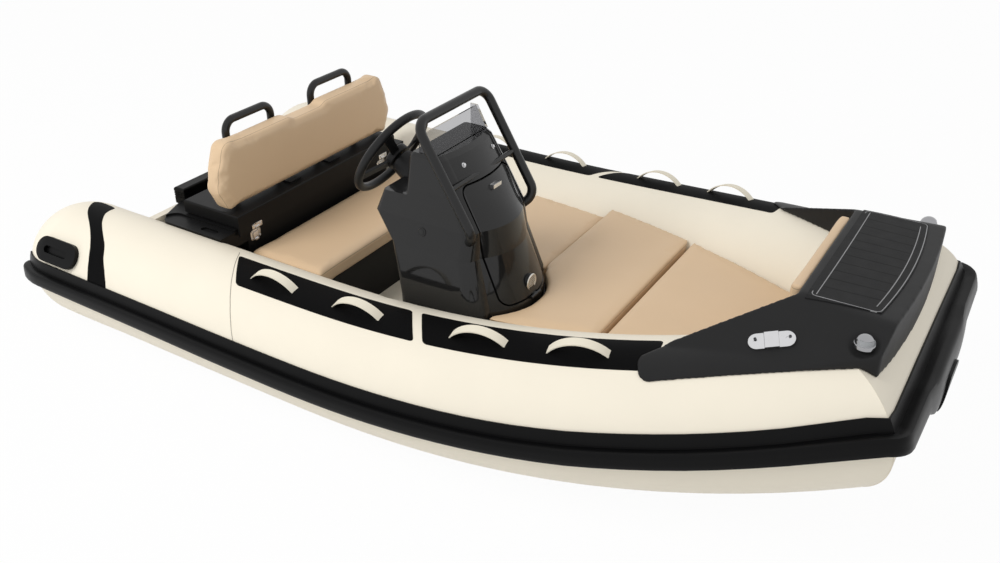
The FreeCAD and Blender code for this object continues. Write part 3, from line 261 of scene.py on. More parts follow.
cushion_tan = vinyl("cushion vinyl tan", TAN)
moulded_black = moulding("moulding black satin", (0.014, 0.014, 0.0143), 0.48, 0.16, 0.18)
# A darker copy of the satin black moulding: painted shade for the locker, its lid, the stern deck
# and the bases.
shaded_moulding_black = moulding("moulding black darkened for shade", (0.006, 0.006, 0.0062), 0.42, 0.12, 0.14)
console_black = moulding("helm gel coat black", (0.005, 0.005, 0.0052), 0.4, 0.03, 0.1, 0.65)
rail_black = moulding("painted tube black", (0.006, 0.006, 0.0063), 0.3, 0.04, 0.4)
wheel_black = moulding("wheel soft grip black", (0.007, 0.007, 0.0073), 0.42, 0.25, 0.3)
hull_paint = moulding("hull powder coat cream", (0.78, 0.72, 0.60), 0.4, 0.05, 0.4)
steel = metal("polished stainless", (0.66, 0.66, 0.67), 0.16)
chrome = metal("light cap chrome", (0.34, 0.34, 0.35), 0.12)
smoke = Finish("smoked screen", SMOKE, 0.03, Transmission_Weight=1.0, IOR=1.08)
smoke.speckle(SMOKE, 0.03, 3.0)
print("other finishes ready")

# %% Every CAD node gets its finish
NODE_FINISH = {
    fabric_cream: ("tube_port", "tube_starboard", "tube_bow", "tube_end_port",
                   "tube_end_starboard"),
    webbing: ("straps_port", "straps_starboard"),
    rubber: ("rub_rail_port", "rub_rail_starboard", "rub_rail_bow", "end_grips", "bow_grip",
             "engine_pad"),
    moulded_black: ("bow_cover", "tread_mat"),
    shaded_moulding_black: ("stern_deck", "stern_locker", "locker_lid", "backrest_clips", "bench_base",
                   "fore_base"),
    console_black: ("console", "console_door"),
    rail_black: ("hand_holds", "console_rail", "door_hinge_fixed", "door_hinge_moving"),
    wheel_black: ("steering_column", "steering_wheel"),
    hull_paint: ("hull", "transom"),
    cushion_tan: ("backrest", "bench_cushion", "cushion_fore_aft", "cushion_fore_bow",
                  "cushion_side", "bow_bolster"),
    steel: ("lid_hinges_fixed", "lid_hinges_moving", "latch_bodies", "latch_keepers",
            "door_latch", "door_vent", "nav_lights", "cleats", "stern_eyes", "bow_eye"),
    smoke: ("windscreen",),
}
for finish, names in NODE_FINISH.items():
    for name in names:
        for material_slot in NODES[name].material_slots:
            material_slot.material = finish.material
print("finishes set on", sum(len(names) for names in NODE_FINISH.values()), "nodes")

# %% [markdown]
# ## Cushions
#
# A boat cushion is a foam block in a vinyl cover: flat where it lies on its base, crowned on
# top, with sides that pull in between the corners. Each one starts as a copy of its CAD solid,
# drawn in by a few millimetres and remeshed into even faces. A cloth simulation then blows the
# cover up, and a cap keeps every point near the foam, so the cushion still fits its place.

# %% Helpers: select, edit, smooth and apply
def object_mode():
    bpy.ops.object.mode_set(mode="OBJECT")


def select_only(*pieces):
    if bpy.context.object and bpy.context.object.mode != "OBJECT":
        object_mode()
    bpy.ops.object.select_all(action="DESELECT")
    for piece in pieces:
        piece.select_set(True)
    bpy.context.view_layer.objects.active = pieces[0]


def edit_all(piece):
    select_only(piece)
    bpy.ops.object.mode_set(mode="EDIT")
    bpy.ops.mesh.select_all(action="SELECT")


def smooth_below(piece, degrees):
    """Shade smooth, but keep each edge that bends by more than the given angle."""
    select_only(piece)
    bpy.ops.object.shade_smooth_by_angle(angle=math.radians(degrees))


def apply_modifier(piece, kind, **settings):
    select_only(piece)
    modifier = piece.modifiers.new(kind.lower(), kind)
    for key, value in settings.items():
        setattr(modifier, key, value)
    bpy.ops.object.modifier_apply(modifier=modifier.name)


def apply_place():
    bpy.ops.object.transform_apply(location=True, rotation=True, scale=True)


# %% Helpers: add a primitive, copy a mesh, find a node's skin
def add(primitive, **shape):
    """Add a mesh primitive and apply its place to its mesh."""
    bpy.ops.object.select_all(action="DESELECT")
    primitive(**shape)
    apply_place()
    return bpy.context.object


def add_grid(name, columns, rows):
    """A grid of so many cells, and the column and row of each of its points."""
    piece = add(bpy.ops.mesh.primitive_grid_add, x_subdivisions=columns, y_subdivisions=rows,
                size=1.0)
    piece.name = name
    return piece, [(round((vertex.co.x + 0.5) * columns), round((vertex.co.y + 0.5) * rows))
                   for vertex in piece.data.vertices]


def push_up(height):
    """Extrude the selected faces straight up, or down."""
    bpy.ops.mesh.extrude_region_move(TRANSFORM_OT_translate={"value": (0.0, 0.0, height)})


def copy_of(piece, name):
    twin = bpy.data.objects.new(name, piece.data.copy())
    bpy.context.scene.collection.objects.link(twin)
    return twin


def copy_of_node(node, name):
    piece = copy_of(NODES[node], name)
    piece.data.materials.clear()
    edit_all(piece)
    bpy.ops.mesh.remove_doubles(threshold=0.0002)
    object_mode()
    return piece


def touch(node, start, toward):
    found, point, normal, _ = NODES[node].ray_cast(Vector(start), Vector(toward).normalized())
    if not found:
        raise ValueError("nothing of %s that way" % node)
    return point, normal


print("helpers ready")

# %% One way to make a padded piece
SIM_FRAMES, COVER_PRESSURE, FOAM_FILL = 20, 4.0, 0.8
BACK_SEAM_DEPTH, SEAT_SEAM_DEPTH = 0.014, 0.012
CUSHION_BODY = {"backrest": "lid"}


def blow_up(piece, cap):
    """Let the cover swell under pressure, and keep each point within the cap of its start."""
    start = [v.co.copy() for v in piece.data.vertices]
    select_only(piece)
    cloth = piece.modifiers.new("cover", "CLOTH")
    cloth.settings.quality = 4
    cloth.settings.tension_stiffness = 30.0
    cloth.settings.compression_stiffness = 30.0
    cloth.settings.bending_stiffness = 2.0
    cloth.settings.use_pressure = True
    cloth.settings.uniform_pressure_force = COVER_PRESSURE
    cloth.settings.effector_weights.gravity = 0.0
    cloth.collision_settings.use_collision = False
    cloth.point_cache.frame_start = 1
    cloth.point_cache.frame_end = SIM_FRAMES
    for number in range(1, SIM_FRAMES + 1):
        bpy.context.scene.frame_set(number)
    bpy.ops.object.modifier_apply(modifier=cloth.name)
    bpy.context.scene.frame_set(1)
    for vertex, home in zip(piece.data.vertices, start):
        step = vertex.co - home
        if step.length > cap:
            vertex.co = home + step * (cap / step.length)


def padded_piece(node, name, voxel, draw_in, cap):
    piece = copy_of_node(node, name)
    high = Vector(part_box(node)[1])
    apply_modifier(piece, "DISPLACE", strength=-draw_in, mid_level=0.0)
    apply_modifier(piece, "REMESH", mode="VOXEL", voxel_size=voxel)
    apply_modifier(piece, "SMOOTH", factor=0.5, iterations=6)
    blow_up(piece, cap)
    apply_modifier(piece, "SMOOTH", factor=0.5, iterations=3)
    axis, level = "Z", high.z - SEAT_SEAM_DEPTH
    if node == "backrest":
        axis, level = "X", high.x - BACK_SEAM_DEPTH
    piece.data.materials.append(vinyl(name + " vinyl", TAN, axis, level).material)
    select_only(piece)
    bpy.ops.object.shade_smooth()
    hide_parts(node)
    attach(piece, CUSHION_BODY.get(node, "boat"))
    print(name, len(piece.data.polygons), "faces")


# %% Each pad, from its CAD solid: the voxel, the drawing-in and the cap
PADS = {"bench_pad": ("bench_cushion", 0.007, 0.003, 0.008),
        "backrest_pad": ("backrest", 0.006, 0.004, 0.010),
        "fore_pad_aft": ("cushion_fore_aft", 0.007, 0.003, 0.006),
        "fore_pad_bow": ("cushion_fore_bow", 0.007, 0.003, 0.006),
        "side_pad": ("cushion_side", 0.006, 0.003, 0.006),
        "bolster_pad": ("bow_bolster", 0.005, 0.002, 0.004)}
for pad_name, (solid, *pad_sizes) in PADS.items():
    padded_piece(solid, pad_name, *pad_sizes)

# %% [markdown]
# ## Patches on the collar
#
# The collar carries black wear patches under the grab straps, a black band at each stern end
# and a lapped seam. On the boat they are cut flat from coated cloth and glued on. They could
# be painted by a mask in the collar's material, but a real edge catches light. So each one is
# drawn flat as one face, its corners are rounded, it is cut into a fine net, and every point
# is then laid on the collar by a ray from the tube's axis.

# %% The collar's axis, and a point on its skin
COLLAR_RADIUS, BOW_RADIUS = 0.211, 0.218
COLLAR_END, PLAN_CURVE_START, SHEER_START, BOW_AXIS = -0.223, 0.605, 0.927, 2.400
AXIS_HALF_WIDTH, AXIS_TAPER, AXIS_HEIGHT, AXIS_SHEER = 0.629, 0.296, 0.2035, 0.167


def share_past(x, start):
    return max(0.0, (x - start) / (BOW_AXIS - start))


def collar_axis(x):
    return (AXIS_HALF_WIDTH - AXIS_TAPER * share_past(x, PLAN_CURVE_START) ** 3,
            AXIS_HEIGHT + AXIS_SHEER * share_past(x, SHEER_START) ** 2)


def on_collar(x, turn, side, rise):
    """A point over the skin; turn runs from 0 outboard to 90 degrees at the top."""
    y, z = collar_axis(x)
    node = "tube_" if x > COLLAR_END else "tube_end_"
    node += "port" if side > 0 else "starboard"
    spoke = Vector((0.0, side * math.cos(turn), math.sin(turn)))
    point, _ = touch(node, (x, side * y, z), spoke)
    outward = (point - Vector((max(x, COLLAR_END), side * y, z))).normalized()
    return point + outward * rise


print("skin at the first strap", [round(v, 3) for v in on_collar(0.748, math.pi / 2, 1, 0)])

# %% One way to lay a cut cloth shape on the collar
CUT_ALONG, CUT_ROUND, CLOTH_BELOW_SKIN = 0.02, 0.012, 0.0015
SIDES = (("port", 1), ("starboard", -1))


def cut_across(piece, axis, step):
    """Slice the whole mesh by planes across one axis, a step apart."""
    values = [vertex.co[axis] for vertex in piece.data.vertices]
    low, high = min(values), max(values)
    edit_all(piece)
    normal = [0.0, 0.0, 0.0]
    normal[axis] = 1.0
    for number in range(1, math.ceil((high - low) / step)):
        place = [0.0, 0.0, 0.0]
        place[axis] = low + number * step
        bpy.ops.mesh.select_all(action="SELECT")
        bpy.ops.mesh.bisect(plane_co=place, plane_no=normal)
    object_mode()


def cloth_shape(name, outline, side, finish, rise=0.0012, corner=0.0):
    piece = add(bpy.ops.mesh.primitive_circle_add, vertices=len(outline), fill_type="NGON")
    piece.name = name
    for vertex, (x, degrees) in zip(piece.data.vertices, outline):
        vertex.co = (x, math.radians(degrees) * COLLAR_RADIUS, 0.0)
    if corner:
        edit_all(piece)
        bpy.ops.mesh.bevel(offset=corner, segments=6, affect="VERTICES")
        object_mode()
    cut_across(piece, 0, CUT_ALONG)
    cut_across(piece, 1, CUT_ROUND)
    edit_all(piece)
    bpy.ops.mesh.quads_convert_to_tris()
    object_mode()
    for vertex in piece.data.vertices:
        vertex.co = on_collar(vertex.co.x, vertex.co.y / COLLAR_RADIUS, side, rise)
    piece.data.update()
    face = piece.data.polygons[0]
    y, z = collar_axis(face.center.x)
    from_axis = face.center - Vector((face.center.x, side * y, z))
    if face.normal.dot(from_axis) < 0:
        edit_all(piece)
        bpy.ops.mesh.flip_normals()
        object_mode()
    apply_modifier(piece, "SOLIDIFY", thickness=rise + CLOTH_BELOW_SKIN, offset=-1.0)
    smooth_below(piece, 40)
    piece.data.materials.append(finish.material)
    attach(piece, "boat")
    print(name, len(piece.data.polygons), "faces")


print("cloth helper ready")

# %% Two wear patches a side, with slanted ends
PATCH_LOW, PATCH_HIGH = 65.2, 99.8
PATCHES = {"patch_aft": (0.526, 0.630, 1.318, 1.228),
           "patch_fore": (1.262, 1.349, 2.010, 1.985)}
for side_name, side in SIDES:
    for patch_name, (aft_high, aft_low, fore_low, fore_high) in PATCHES.items():
        patch_outline = [(aft_high, PATCH_HIGH), (aft_low, PATCH_LOW), (fore_low, PATCH_LOW),
                         (fore_high, PATCH_HIGH)]
        cloth_shape(patch_name + "_" + side_name, patch_outline, side, fabric_black,
                    corner=0.013)

# %% A black band and a lapped seam a side, near the stern
BAND = [(0.012, 17.5), (0.012, 19.5), (0.010, 25.0), (0.004, 31.5), (-0.003, 38.0),
        (-0.013, 44.3), (-0.024, 50.0), (-0.038, 55.3), (-0.053, 60.0), (-0.071, 64.7),
        (-0.092, 69.6), (-0.116, 74.6), (-0.143, 79.6), (-0.168, 84.7), (-0.183, 88.4),
        (-0.197, 92.1), (-0.212, 97.2), (-0.226, 102.4), (-0.237, 107.5), (-0.236, 112.0),
        (-0.226, 114.0), (-0.205, 114.6), (-0.170, 113.8), (-0.142, 111.5), (-0.131, 107.0),
        (-0.123, 101.0), (-0.110, 93.0), (-0.097, 88.3), (-0.083, 84.0), (-0.069, 79.8),
        (-0.051, 75.5), (-0.032, 71.2), (-0.006, 65.6), (0.019, 60.1), (0.032, 56.5),
        (0.042, 52.8), (0.050, 49.2), (0.057, 45.5), (0.070, 40.5), (0.083, 35.4),
        (0.093, 30.3), (0.102, 25.2), (0.109, 18.0), (0.109, 17.5)]
SEAM = [(0.498, 107.0), (0.508, 104.4), (0.535, 93.9), (0.562, 83.4), (0.585, 74.7),
        (0.606, 66.1), (0.624, 59.1), (0.640, 52.2), (0.655, 45.7), (0.668, 39.3),
        (0.680, 33.0), (0.690, 26.7), (0.705, 17.2)]
SEAM_LAP = 0.0028
for side_name, side in SIDES:
    cloth_shape("stern_band_" + side_name, BAND, side, fabric_black)
    lap = SEAM + [(x + SEAM_LAP, turn) for x, turn in reversed(SEAM)]
    cloth_shape("collar_seam_" + side_name, lap, side, lap_seam_grey,
                rise=0.0007)

# %% [markdown]
# ## Rub rail
#
# The rub rail is one rubber extrusion: a flat band above, a deep bumper below. It runs from
# one stern end along the side, bends round the bow corners and comes back. The CAD holds it as
# three mitred lengths at one level. On the boat it climbs the collar toward the bow, its ends
# are rounded and its corners bend softly. A sweep along a curve would twist where the collar
# rises, so a grid is used: each row is the outline, laid at one station by its own angles.

# %% The outline, and its angles at each station
RAIL_SKIN, RAIL_BAND = 0.0005, 0.006
BAND_POINTS = ((0.0, 0.0), (0.0, 0.75), (0.04, 1.0), (0.5, 1.0), (0.94, 1.0))
BUMPER_POINTS = ((0.0, 0.10), (0.015, 0.45), (0.04, 0.80), (0.09, 0.95), (0.17, 1.0),
                 (0.40, 1.0), (0.65, 1.0), (0.86, 1.0), (0.94, 0.95), (0.985, 0.82),
                 (1.0, 0.60), (1.0, 0.0))
RAIL_RUN = ((-0.223, 20.4, 10.8, -1.0), (0.0, 19.9, 10.2, -1.9), (0.3, 19.4, 9.4, -2.8),
            (0.6, 18.5, 8.2, -4.4), (0.9, 18.1, 7.6, -5.2), (1.2, 17.6, 7.1, -5.4),
            (1.5, 17.2, 7.0, -5.2), (1.65, 17.6, 7.3, -4.9), (1.8, 18.7, 8.4, -4.2),
            (1.95, 20.8, 10.4, -2.2), (2.1, 22.8, 12.4, -0.1), (2.25, 25.0, 15.1, 2.3),
            (2.4, 27.6, 17.6, 4.4))
RAIL_SIDE_END = (28.7, 18.6, 5.6)
RAIL_BOW_END = (32.4, 22.4, 9.0)
RAIL_BOW = (32.6, 21.0, -8.0)
TIP_REACH, SIDE_REACH, CORNER_REACH, BOW_REACH = 0.008, 0.033, 0.042, 0.050


def angles_at(x):
    for (low_x, *low), (high_x, *high) in zip(RAIL_RUN, RAIL_RUN[1:]):
        if x <= high_x:
            share = max(0.0, (x - low_x) / (high_x - low_x))
            return [a + (b - a) * share for a, b in zip(low, high)]
    return list(RAIL_RUN[-1][1:])


def rail_row(centre, out, up, radius, angles, reach):
    """One closed outline as points, from the band's top edge down to the bumper's foot."""
    top, crease, low = angles
    row = [(top + (crease - top) * share, RAIL_SKIN + (RAIL_BAND - RAIL_SKIN) * depth)
           for share, depth in BAND_POINTS]
    row += [(crease + (low - crease) * share, RAIL_SKIN + (reach - RAIL_SKIN) * max(
        depth, (RAIL_BAND / reach) * (depth > 0))) for share, depth in BUMPER_POINTS]
    return [centre + (out * math.cos(math.radians(turn)) + up * math.sin(math.radians(turn)))
            * (radius + depth) for turn, depth in row]


def side_frame(x):
    """The collar's axis point, its run, and the outward and upward spokes, to port."""
    places = [Vector((near, *collar_axis(near))) for near in (x - 0.001, x, x + 0.001)]
    run = (places[2] - places[0]).normalized()
    out = Vector((-run.y, run.x, 0.0)).normalized()
    return places[1], run, out, run.cross(out)


print("rail outline has", len(BAND_POINTS) + len(BUMPER_POINTS), "points")

# %% Rows round the stern end and along the port side
STERN_WRAP = (34.0, 33.7, 32.9, 31.5, 29.5, 26.5, 22.0, 16.0, 8.0)
FADE_START, FADE_LENGTH = 22.0, 12.0
STATION_STEP, SHORT_OF_MITRE = 0.07, 0.10
rail_rows = []
stern_centre = Vector((COLLAR_END, *collar_axis(COLLAR_END)))
for degrees in STERN_WRAP:
    spoke = Vector((-math.sin(math.radians(degrees)), math.cos(math.radians(degrees)), 0.0))
    faded = max(0.0, (degrees - FADE_START) / FADE_LENGTH)
    reach = TIP_REACH + (SIDE_REACH - TIP_REACH) * math.sqrt(max(0.0, 1.0 - faded ** 2))
    rail_rows.append(rail_row(stern_centre, spoke, UP, COLLAR_RADIUS, angles_at(COLLAR_END),
                              reach))
station = COLLAR_END
while station < BOW_AXIS - SHORT_OF_MITRE:
    centre, run, out, up = side_frame(station)
    radius = COLLAR_RADIUS + (BOW_RADIUS - COLLAR_RADIUS) * share_past(station, SHEER_START)
    rail_rows.append(rail_row(centre, out, up, radius, angles_at(station), SIDE_REACH))
    station += STATION_STEP
print("rows to the bow corner", len(rail_rows))

# %% Rows round the bow corner: the band keeps its mitre, and the bumper bends softly
BEND, SOFT_DEPTH = 0.05, 0.02
BEND_SHARES = (0.0, 0.2, 0.35, 0.5, 0.65, 0.8, 1.0)
corner, side_run, side_out, side_up = side_frame(BOW_AXIS)
bow_run = Vector((0.0, 1.0, 0.0))
mitre_normal = (side_run - bow_run).normalized()


def along_to_mitre(point, run, short):
    """Slide a point along its run until it is a given distance short of the mitre."""
    reach = (corner - point).dot(mitre_normal) / run.dot(mitre_normal)
    return point + run * (reach - short)


from_side = rail_row(corner, side_out, side_up, BOW_RADIUS, RAIL_SIDE_END, CORNER_REACH)
from_bow = rail_row(corner, FORWARD, UP, BOW_RADIUS, RAIL_BOW_END, CORNER_REACH)
before = [along_to_mitre(point, side_run, BEND) for point in from_side]
after = [along_to_mitre(point, bow_run, BEND) for point in from_bow]
at_corner = [(along_to_mitre(a, side_run, 0.0) + along_to_mitre(b, bow_run, 0.0)) / 2
             for a, b in zip(from_side, from_bow)]
depths = [(point - corner).length - BOW_RADIUS for point in from_bow]
for share in BEND_SHARES:
    row = []
    for first, middle, last, depth in zip(before, at_corner, after, depths):
        bent = first * (1 - share) ** 2 + middle * 2 * share * (1 - share) + last * share ** 2
        if share < 0.5:
            sharp = first.lerp(middle, share * 2)
        else:
            sharp = middle.lerp(last, share * 2 - 1)
        soft = min(1.0, max(0.0, (depth - RAIL_BAND) / SOFT_DEPTH))
        row.append(sharp.lerp(bent, soft))
    rail_rows.append(row)
print("rows round the corner", len(BEND_SHARES))

# %% Rows along the bow to its middle, and the same rows to starboard
BOW_STATIONS = (0.26, 0.24, 0.22, 0.20, 0.18, 0.16, 0.14, 0.11, 0.07, 0.0)
FOOT_START, FOOT_RUN = 0.30, 0.16
for y in BOW_STATIONS:
    share = min(1.0, (FOOT_START - y) / FOOT_RUN)
    share = share * share * (3.0 - 2.0 * share)
    angles = [a + (b - a) * share for a, b in zip(RAIL_BOW_END, RAIL_BOW)]
    rail_rows.append(rail_row(Vector((BOW_AXIS, y, corner.z)), FORWARD, UP, BOW_RADIUS,
                              angles, CORNER_REACH + (BOW_REACH - CORNER_REACH) * share))
rail_rows += [[Vector((p.x, -p.y, p.z)) for p in row] for row in reversed(rail_rows[:-1])]
print("rail rows", len(rail_rows))

# %% A grid laid through the rows, closed along its seam and at its ends
ring_size = len(rail_rows[0])
rub_rail, rail_cells = add_grid("rub_rail", len(rail_rows) - 1, ring_size)
for vertex, (column, row) in zip(rub_rail.data.vertices, rail_cells):
    vertex.co = rail_rows[column][row % ring_size]
edit_all(rub_rail)
bpy.ops.mesh.remove_doubles(threshold=0.00001)
bpy.ops.mesh.select_all(action="DESELECT")
bpy.ops.mesh.select_mode(type="EDGE")
bpy.ops.mesh.select_non_manifold()
bpy.ops.mesh.fill_holes(sides=0)
bpy.ops.mesh.select_all(action="SELECT")
bpy.ops.mesh.normals_make_consistent(inside=False)
object_mode()
smooth_below(rub_rail, 38)
rub_rail.data.materials.append(rubber.material)
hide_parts("rub_rail_port", "rub_rail_starboard", "rub_rail_bow")
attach(rub_rail, "boat")
print("rub rail", len(rub_rail.data.polygons), "faces")

# %% [markdown]
# ## Bow mat
#
# The bow deck has a foam mat with a fan of fore-and-aft ribs and thin pale lines. The ribs are
# real steps: a grid is shaped to the mat, laid on the deck by rays from above, and the lands
# between the grooves are extruded. The lines are thinner than a rib, so they are drawn by the
# mat's own UV map, which holds each point's place along and across it in metres.

# %% The mat's net, with one narrow row for each groove
MAT_AFT, MAT_FRONT, MAT_CROWN = 2.300, 2.490, 0.022
MAT_HALF_AFT, MAT_HALF_FRONT = 0.302, 0.287
GROOVE, RIB_PITCH, RIB_ZONE = 0.006, 0.052, 0.26
across_half = []
groove_at = RIB_PITCH / 2
while groove_at < RIB_ZONE:
    across_half += [groove_at - GROOVE / 2, groove_at + GROOVE / 2]
    groove_at += RIB_PITCH
across_half += [RIB_ZONE + 0.004, 0.29, MAT_HALF_AFT]
across = [-value for value in reversed(across_half)] + [0.0] + across_half
along = [0.0, 0.06, 0.13, 0.25, 0.38, 0.51, 0.64, 0.77, 0.86, 0.93, 1.0]
deck_mat, mat_cells = add_grid("deck_mat", len(along) - 1, len(across) - 1)
print("mat net", len(deck_mat.data.vertices), "points for", len(along) * len(across))

# %% Shape the net, lay it on the deck and raise the lands
MAT_SINK, OFF_DECK_Z, LAND_RISE = 0.0005, 0.66, 0.0012
LAND_AFT, LAND_FRONT = 0.13, 0.93
mat_place = []
for vertex, (column, row) in zip(deck_mat.data.vertices, mat_cells):
    s, t = along[column], across[row] / MAT_HALF_AFT
    front = MAT_FRONT + MAT_CROWN * (1 - t * t)
    x = MAT_AFT + (front - MAT_AFT) * s
    y = t * (MAT_HALF_AFT + (MAT_HALF_FRONT - MAT_HALF_AFT) * s)
    found, point, _, _ = NODES["bow_cover"].ray_cast(Vector((x, y, 1.0)), -UP)
    vertex.co = (x, y, point.z - MAT_SINK if found else OFF_DECK_Z)
    mat_place.append((x - MAT_AFT - (front - MAT_FRONT) * s, y))
for loop in deck_mat.data.loops:
    deck_mat.data.uv_layers[0].data[loop.index].uv = mat_place[loop.vertex_index]
apply_modifier(deck_mat, "SOLIDIFY", thickness=0.0025, offset=1.0)


def is_land(face):
    share = (face.center.x - MAT_AFT) / (MAT_FRONT - MAT_AFT)
    flat_y = abs(face.center.y) / (1 - 0.05 * share)
    from_groove = abs((flat_y + RIB_PITCH) % RIB_PITCH - RIB_PITCH / 2)
    return (face.normal.z > 0.5 and flat_y < RIB_ZONE
            and LAND_AFT < share < LAND_FRONT and from_groove > GROOVE * 0.7)


for face in deck_mat.data.polygons:
    face.select = is_land(face)
select_only(deck_mat)
bpy.ops.object.mode_set(mode="EDIT")
bpy.ops.mesh.select_mode(type="FACE")
push_up(LAND_RISE)
object_mode()
apply_modifier(deck_mat, "BEVEL", width=0.0005, segments=1, limit_method="ANGLE")
print("lands raised on", sum(is_land(face) for face in deck_mat.data.polygons), "faces")

# %% The mat's foam and its pale lines
mat_foam = Finish("mat foam black", (0.012, 0.012, 0.0125), 0.62, Specular_IOR_Level=0.15)
mat_uv = mat_foam.node("ShaderNodeUVMap")
mat_x, mat_y, _ = mat_foam.axes(mat_uv)
LINE_HALF, LINE_CORNER, LINE_SIDE = 0.0012, 0.014, MAT_HALF_FRONT + 0.001
LINE_MIDDLE, LINE_REACH = 0.098, 0.088
LINE_OPEN_X, LINE_OPEN_Y = 0.03, 0.268
INNER_FRONT, INNER_AFT = (0.168, 0.262), (0.022, 0.28)
RIBS_AFT, RIBS_FRONT = 0.024, 0.165
side_over = abs(mat_y) - (LINE_SIDE - LINE_CORNER)
front_over = abs(mat_x - LINE_MIDDLE) - (LINE_REACH - LINE_CORNER)
side_past = side_over.largest(0.0)
front_past = front_over.largest(0.0)
from_edge = (side_past * side_past + front_past * front_past).root() - LINE_CORNER
pale_line = abs(from_edge).below(LINE_HALF) * (mat_x - LINE_OPEN_X).above(0.0).largest(
    abs(mat_y).above(LINE_OPEN_Y))
for line_x, line_y in (INNER_FRONT, INNER_AFT):
    pale_line = pale_line.largest(
        abs(mat_x - line_x).below(LINE_HALF) * abs(mat_y).below(line_y))
foam_tone = mat_foam.mix(mat_foam.noise(60.0, 4.0), (0.010, 0.010, 0.0103),
                         (0.020, 0.020, 0.0205))
flat_across = abs(mat_y) / (1.0 - mat_x * 0.25)
from_groove = abs((flat_across * (1.0 / RIB_PITCH)).fraction() - 0.5)
groove_shade = from_groove.below(0.05) * flat_across.below(RIB_ZONE)
groove_shade = groove_shade * mat_x.above(RIBS_AFT) * mat_x.below(RIBS_FRONT)
ribbed_tone = mat_foam.mix(groove_shade * 0.75, foam_tone, (0.002, 0.002, 0.002))
mat_foam.set("Base Color", mat_foam.mix(pale_line, ribbed_tone, (0.30, 0.30, 0.305)))
mat_foam.bump(mat_foam.noise(1400.0, 3.0) - pale_line * 0.5, 0.35, 0.0005)
mat_foam.set("Roughness", mat_foam.noise(30.0, 3.0) * 0.15 + 0.55)
deck_mat.data.materials.append(mat_foam.material)
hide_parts("tread_mat")
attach(deck_mat, "boat")
print("mat finished with", len(deck_mat.data.polygons), "faces")

# %% [markdown]
# ## Small fittings
#
# Screws, knobs and rings are what make the mouldings read at their true size. Each one is
# modelled once, lying at the origin with its top along +Z. It is then turned to the surface
# that carries it, at a point that a ray finds or that is given, and its place is applied to its
# mesh.

# %% Settle a piece where a ray has found its place, and dress it
def settle(piece, point, normal, up=UP):
    out = Vector(normal).normalized()
    top = up - out * up.dot(out)
    if top.length < 0.01:
        top = FORWARD.copy()
    top.normalize()
    turn = Matrix((top.cross(out), top, out)).transposed().to_4x4()
    piece.matrix_world = Matrix.Translation(point) @ turn
    select_only(piece)
    apply_place()


def dress(piece, finish, body):
    smooth_below(piece, 35)
    piece.data.materials.clear()
    piece.data.materials.append(finish.material)
    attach(piece, body)


def edit_faces(piece, wanted):
    """Enter edit mode with only the wanted faces selected."""
    for item in (*piece.data.vertices, *piece.data.edges):
        item.select = False
    for face in piece.data.polygons:
        face.select = bool(wanted(face))
    select_only(piece)
    bpy.ops.object.mode_set(mode="EDIT")
    bpy.ops.mesh.select_mode(type="FACE")


def is_top(face):
    return face.normal.z > 0.9


def disc(sides, radius, depth, height):
    """An upright cylinder, with its middle at the given height."""
    return add(bpy.ops.mesh.primitive_cylinder_add, vertices=sides, radius=radius, depth=depth,
               location=(0.0, 0.0, height))


def torus(radius, thickness, sides, height):
    return add(bpy.ops.mesh.primitive_torus_add, major_radius=radius, minor_radius=thickness,
               major_segments=sides, minor_segments=10, location=(0.0, 0.0, height))


print("fitting helpers ready")

# %% A pan-head screw with a hexagon socket
def make_screw(radius):
    screw = disc(24, radius, radius * 0.5, radius * 0.2)
    edit_faces(screw, is_top)
    for margin, rise in ((0.2, 0.12), (0.32, -0.4)):
        bpy.ops.mesh.inset(thickness=radius * margin)
        push_up(radius * rise)
    object_mode()
    return screw


# %% Two screws in each cleat
steel_dark = metal("screw steel dark", (0.09, 0.09, 0.095), 0.3)
first_screw = make_screw(0.0040)
CLEAT_SCREWS = ((2.2223, 0.4338), (2.3037, 0.4082))
for side_name, side in SIDES:
    for number, (x, y) in enumerate(CLEAT_SCREWS):
        screw = copy_of(first_screw, "cleat_screw_%s_%d" % (side_name, number + 1))
        settle(screw, *touch("cleats", (x, side * y, 1.0), -UP))
        dress(screw, steel_dark, "boat")
bpy.data.objects.remove(first_screw)
print("cleat screws set")

# %% Joining parts, and a plate with rounded corners
def join(name, *parts):
    """Make several parts one piece; the first gives the origin."""
    select_only(*parts)
    bpy.ops.object.join()
    bpy.context.object.name = name
    return bpy.context.object


def slab(width, height, depth, corner, edge=0.0006, centre=(0.0, 0.0)):
    """A plate lying at z = 0, with its four upright corners and its top edge rounded."""
    plate = add(bpy.ops.mesh.primitive_cube_add, size=1.0, location=(*centre, depth / 2),
                scale=(width, height, depth))
    for item in (*plate.data.vertices, *plate.data.polygons):
        item.select = False
    for rim in plate.data.edges:
        first, second = (plate.data.vertices[number].co for number in rim.vertices)
        rim.select = abs(first.z - second.z) > depth / 2
    select_only(plate)
    bpy.ops.object.mode_set(mode="EDIT")
    bpy.ops.mesh.select_mode(type="EDGE")
    bpy.ops.mesh.bevel(offset=corner, segments=6)
    object_mode()
    edit_faces(plate, is_top)
    bpy.ops.mesh.bevel(offset=edge, segments=2, affect="EDGES")
    object_mode()
    return plate


def wire_loop(points, radius):
    """A bent wire through the given points, made a mesh."""
    curve = bpy.data.curves.new("wire", "CURVE")
    curve.dimensions = "3D"
    spline = curve.splines.new("NURBS")
    spline.points.add(len(points) - 1)
    for point, place in zip(spline.points, points):
        point.co = (*place, 1.0)
    spline.order_u = 3
    spline.use_endpoint_u = True
    curve.bevel_depth = radius
    curve.bevel_resolution = 3
    curve.use_fill_caps = True
    loop = bpy.data.objects.new("wire", curve)
    bpy.context.scene.collection.objects.link(loop)
    select_only(loop)
    bpy.ops.object.convert(target="MESH")
    return bpy.context.object


print("plate and wire helpers ready")

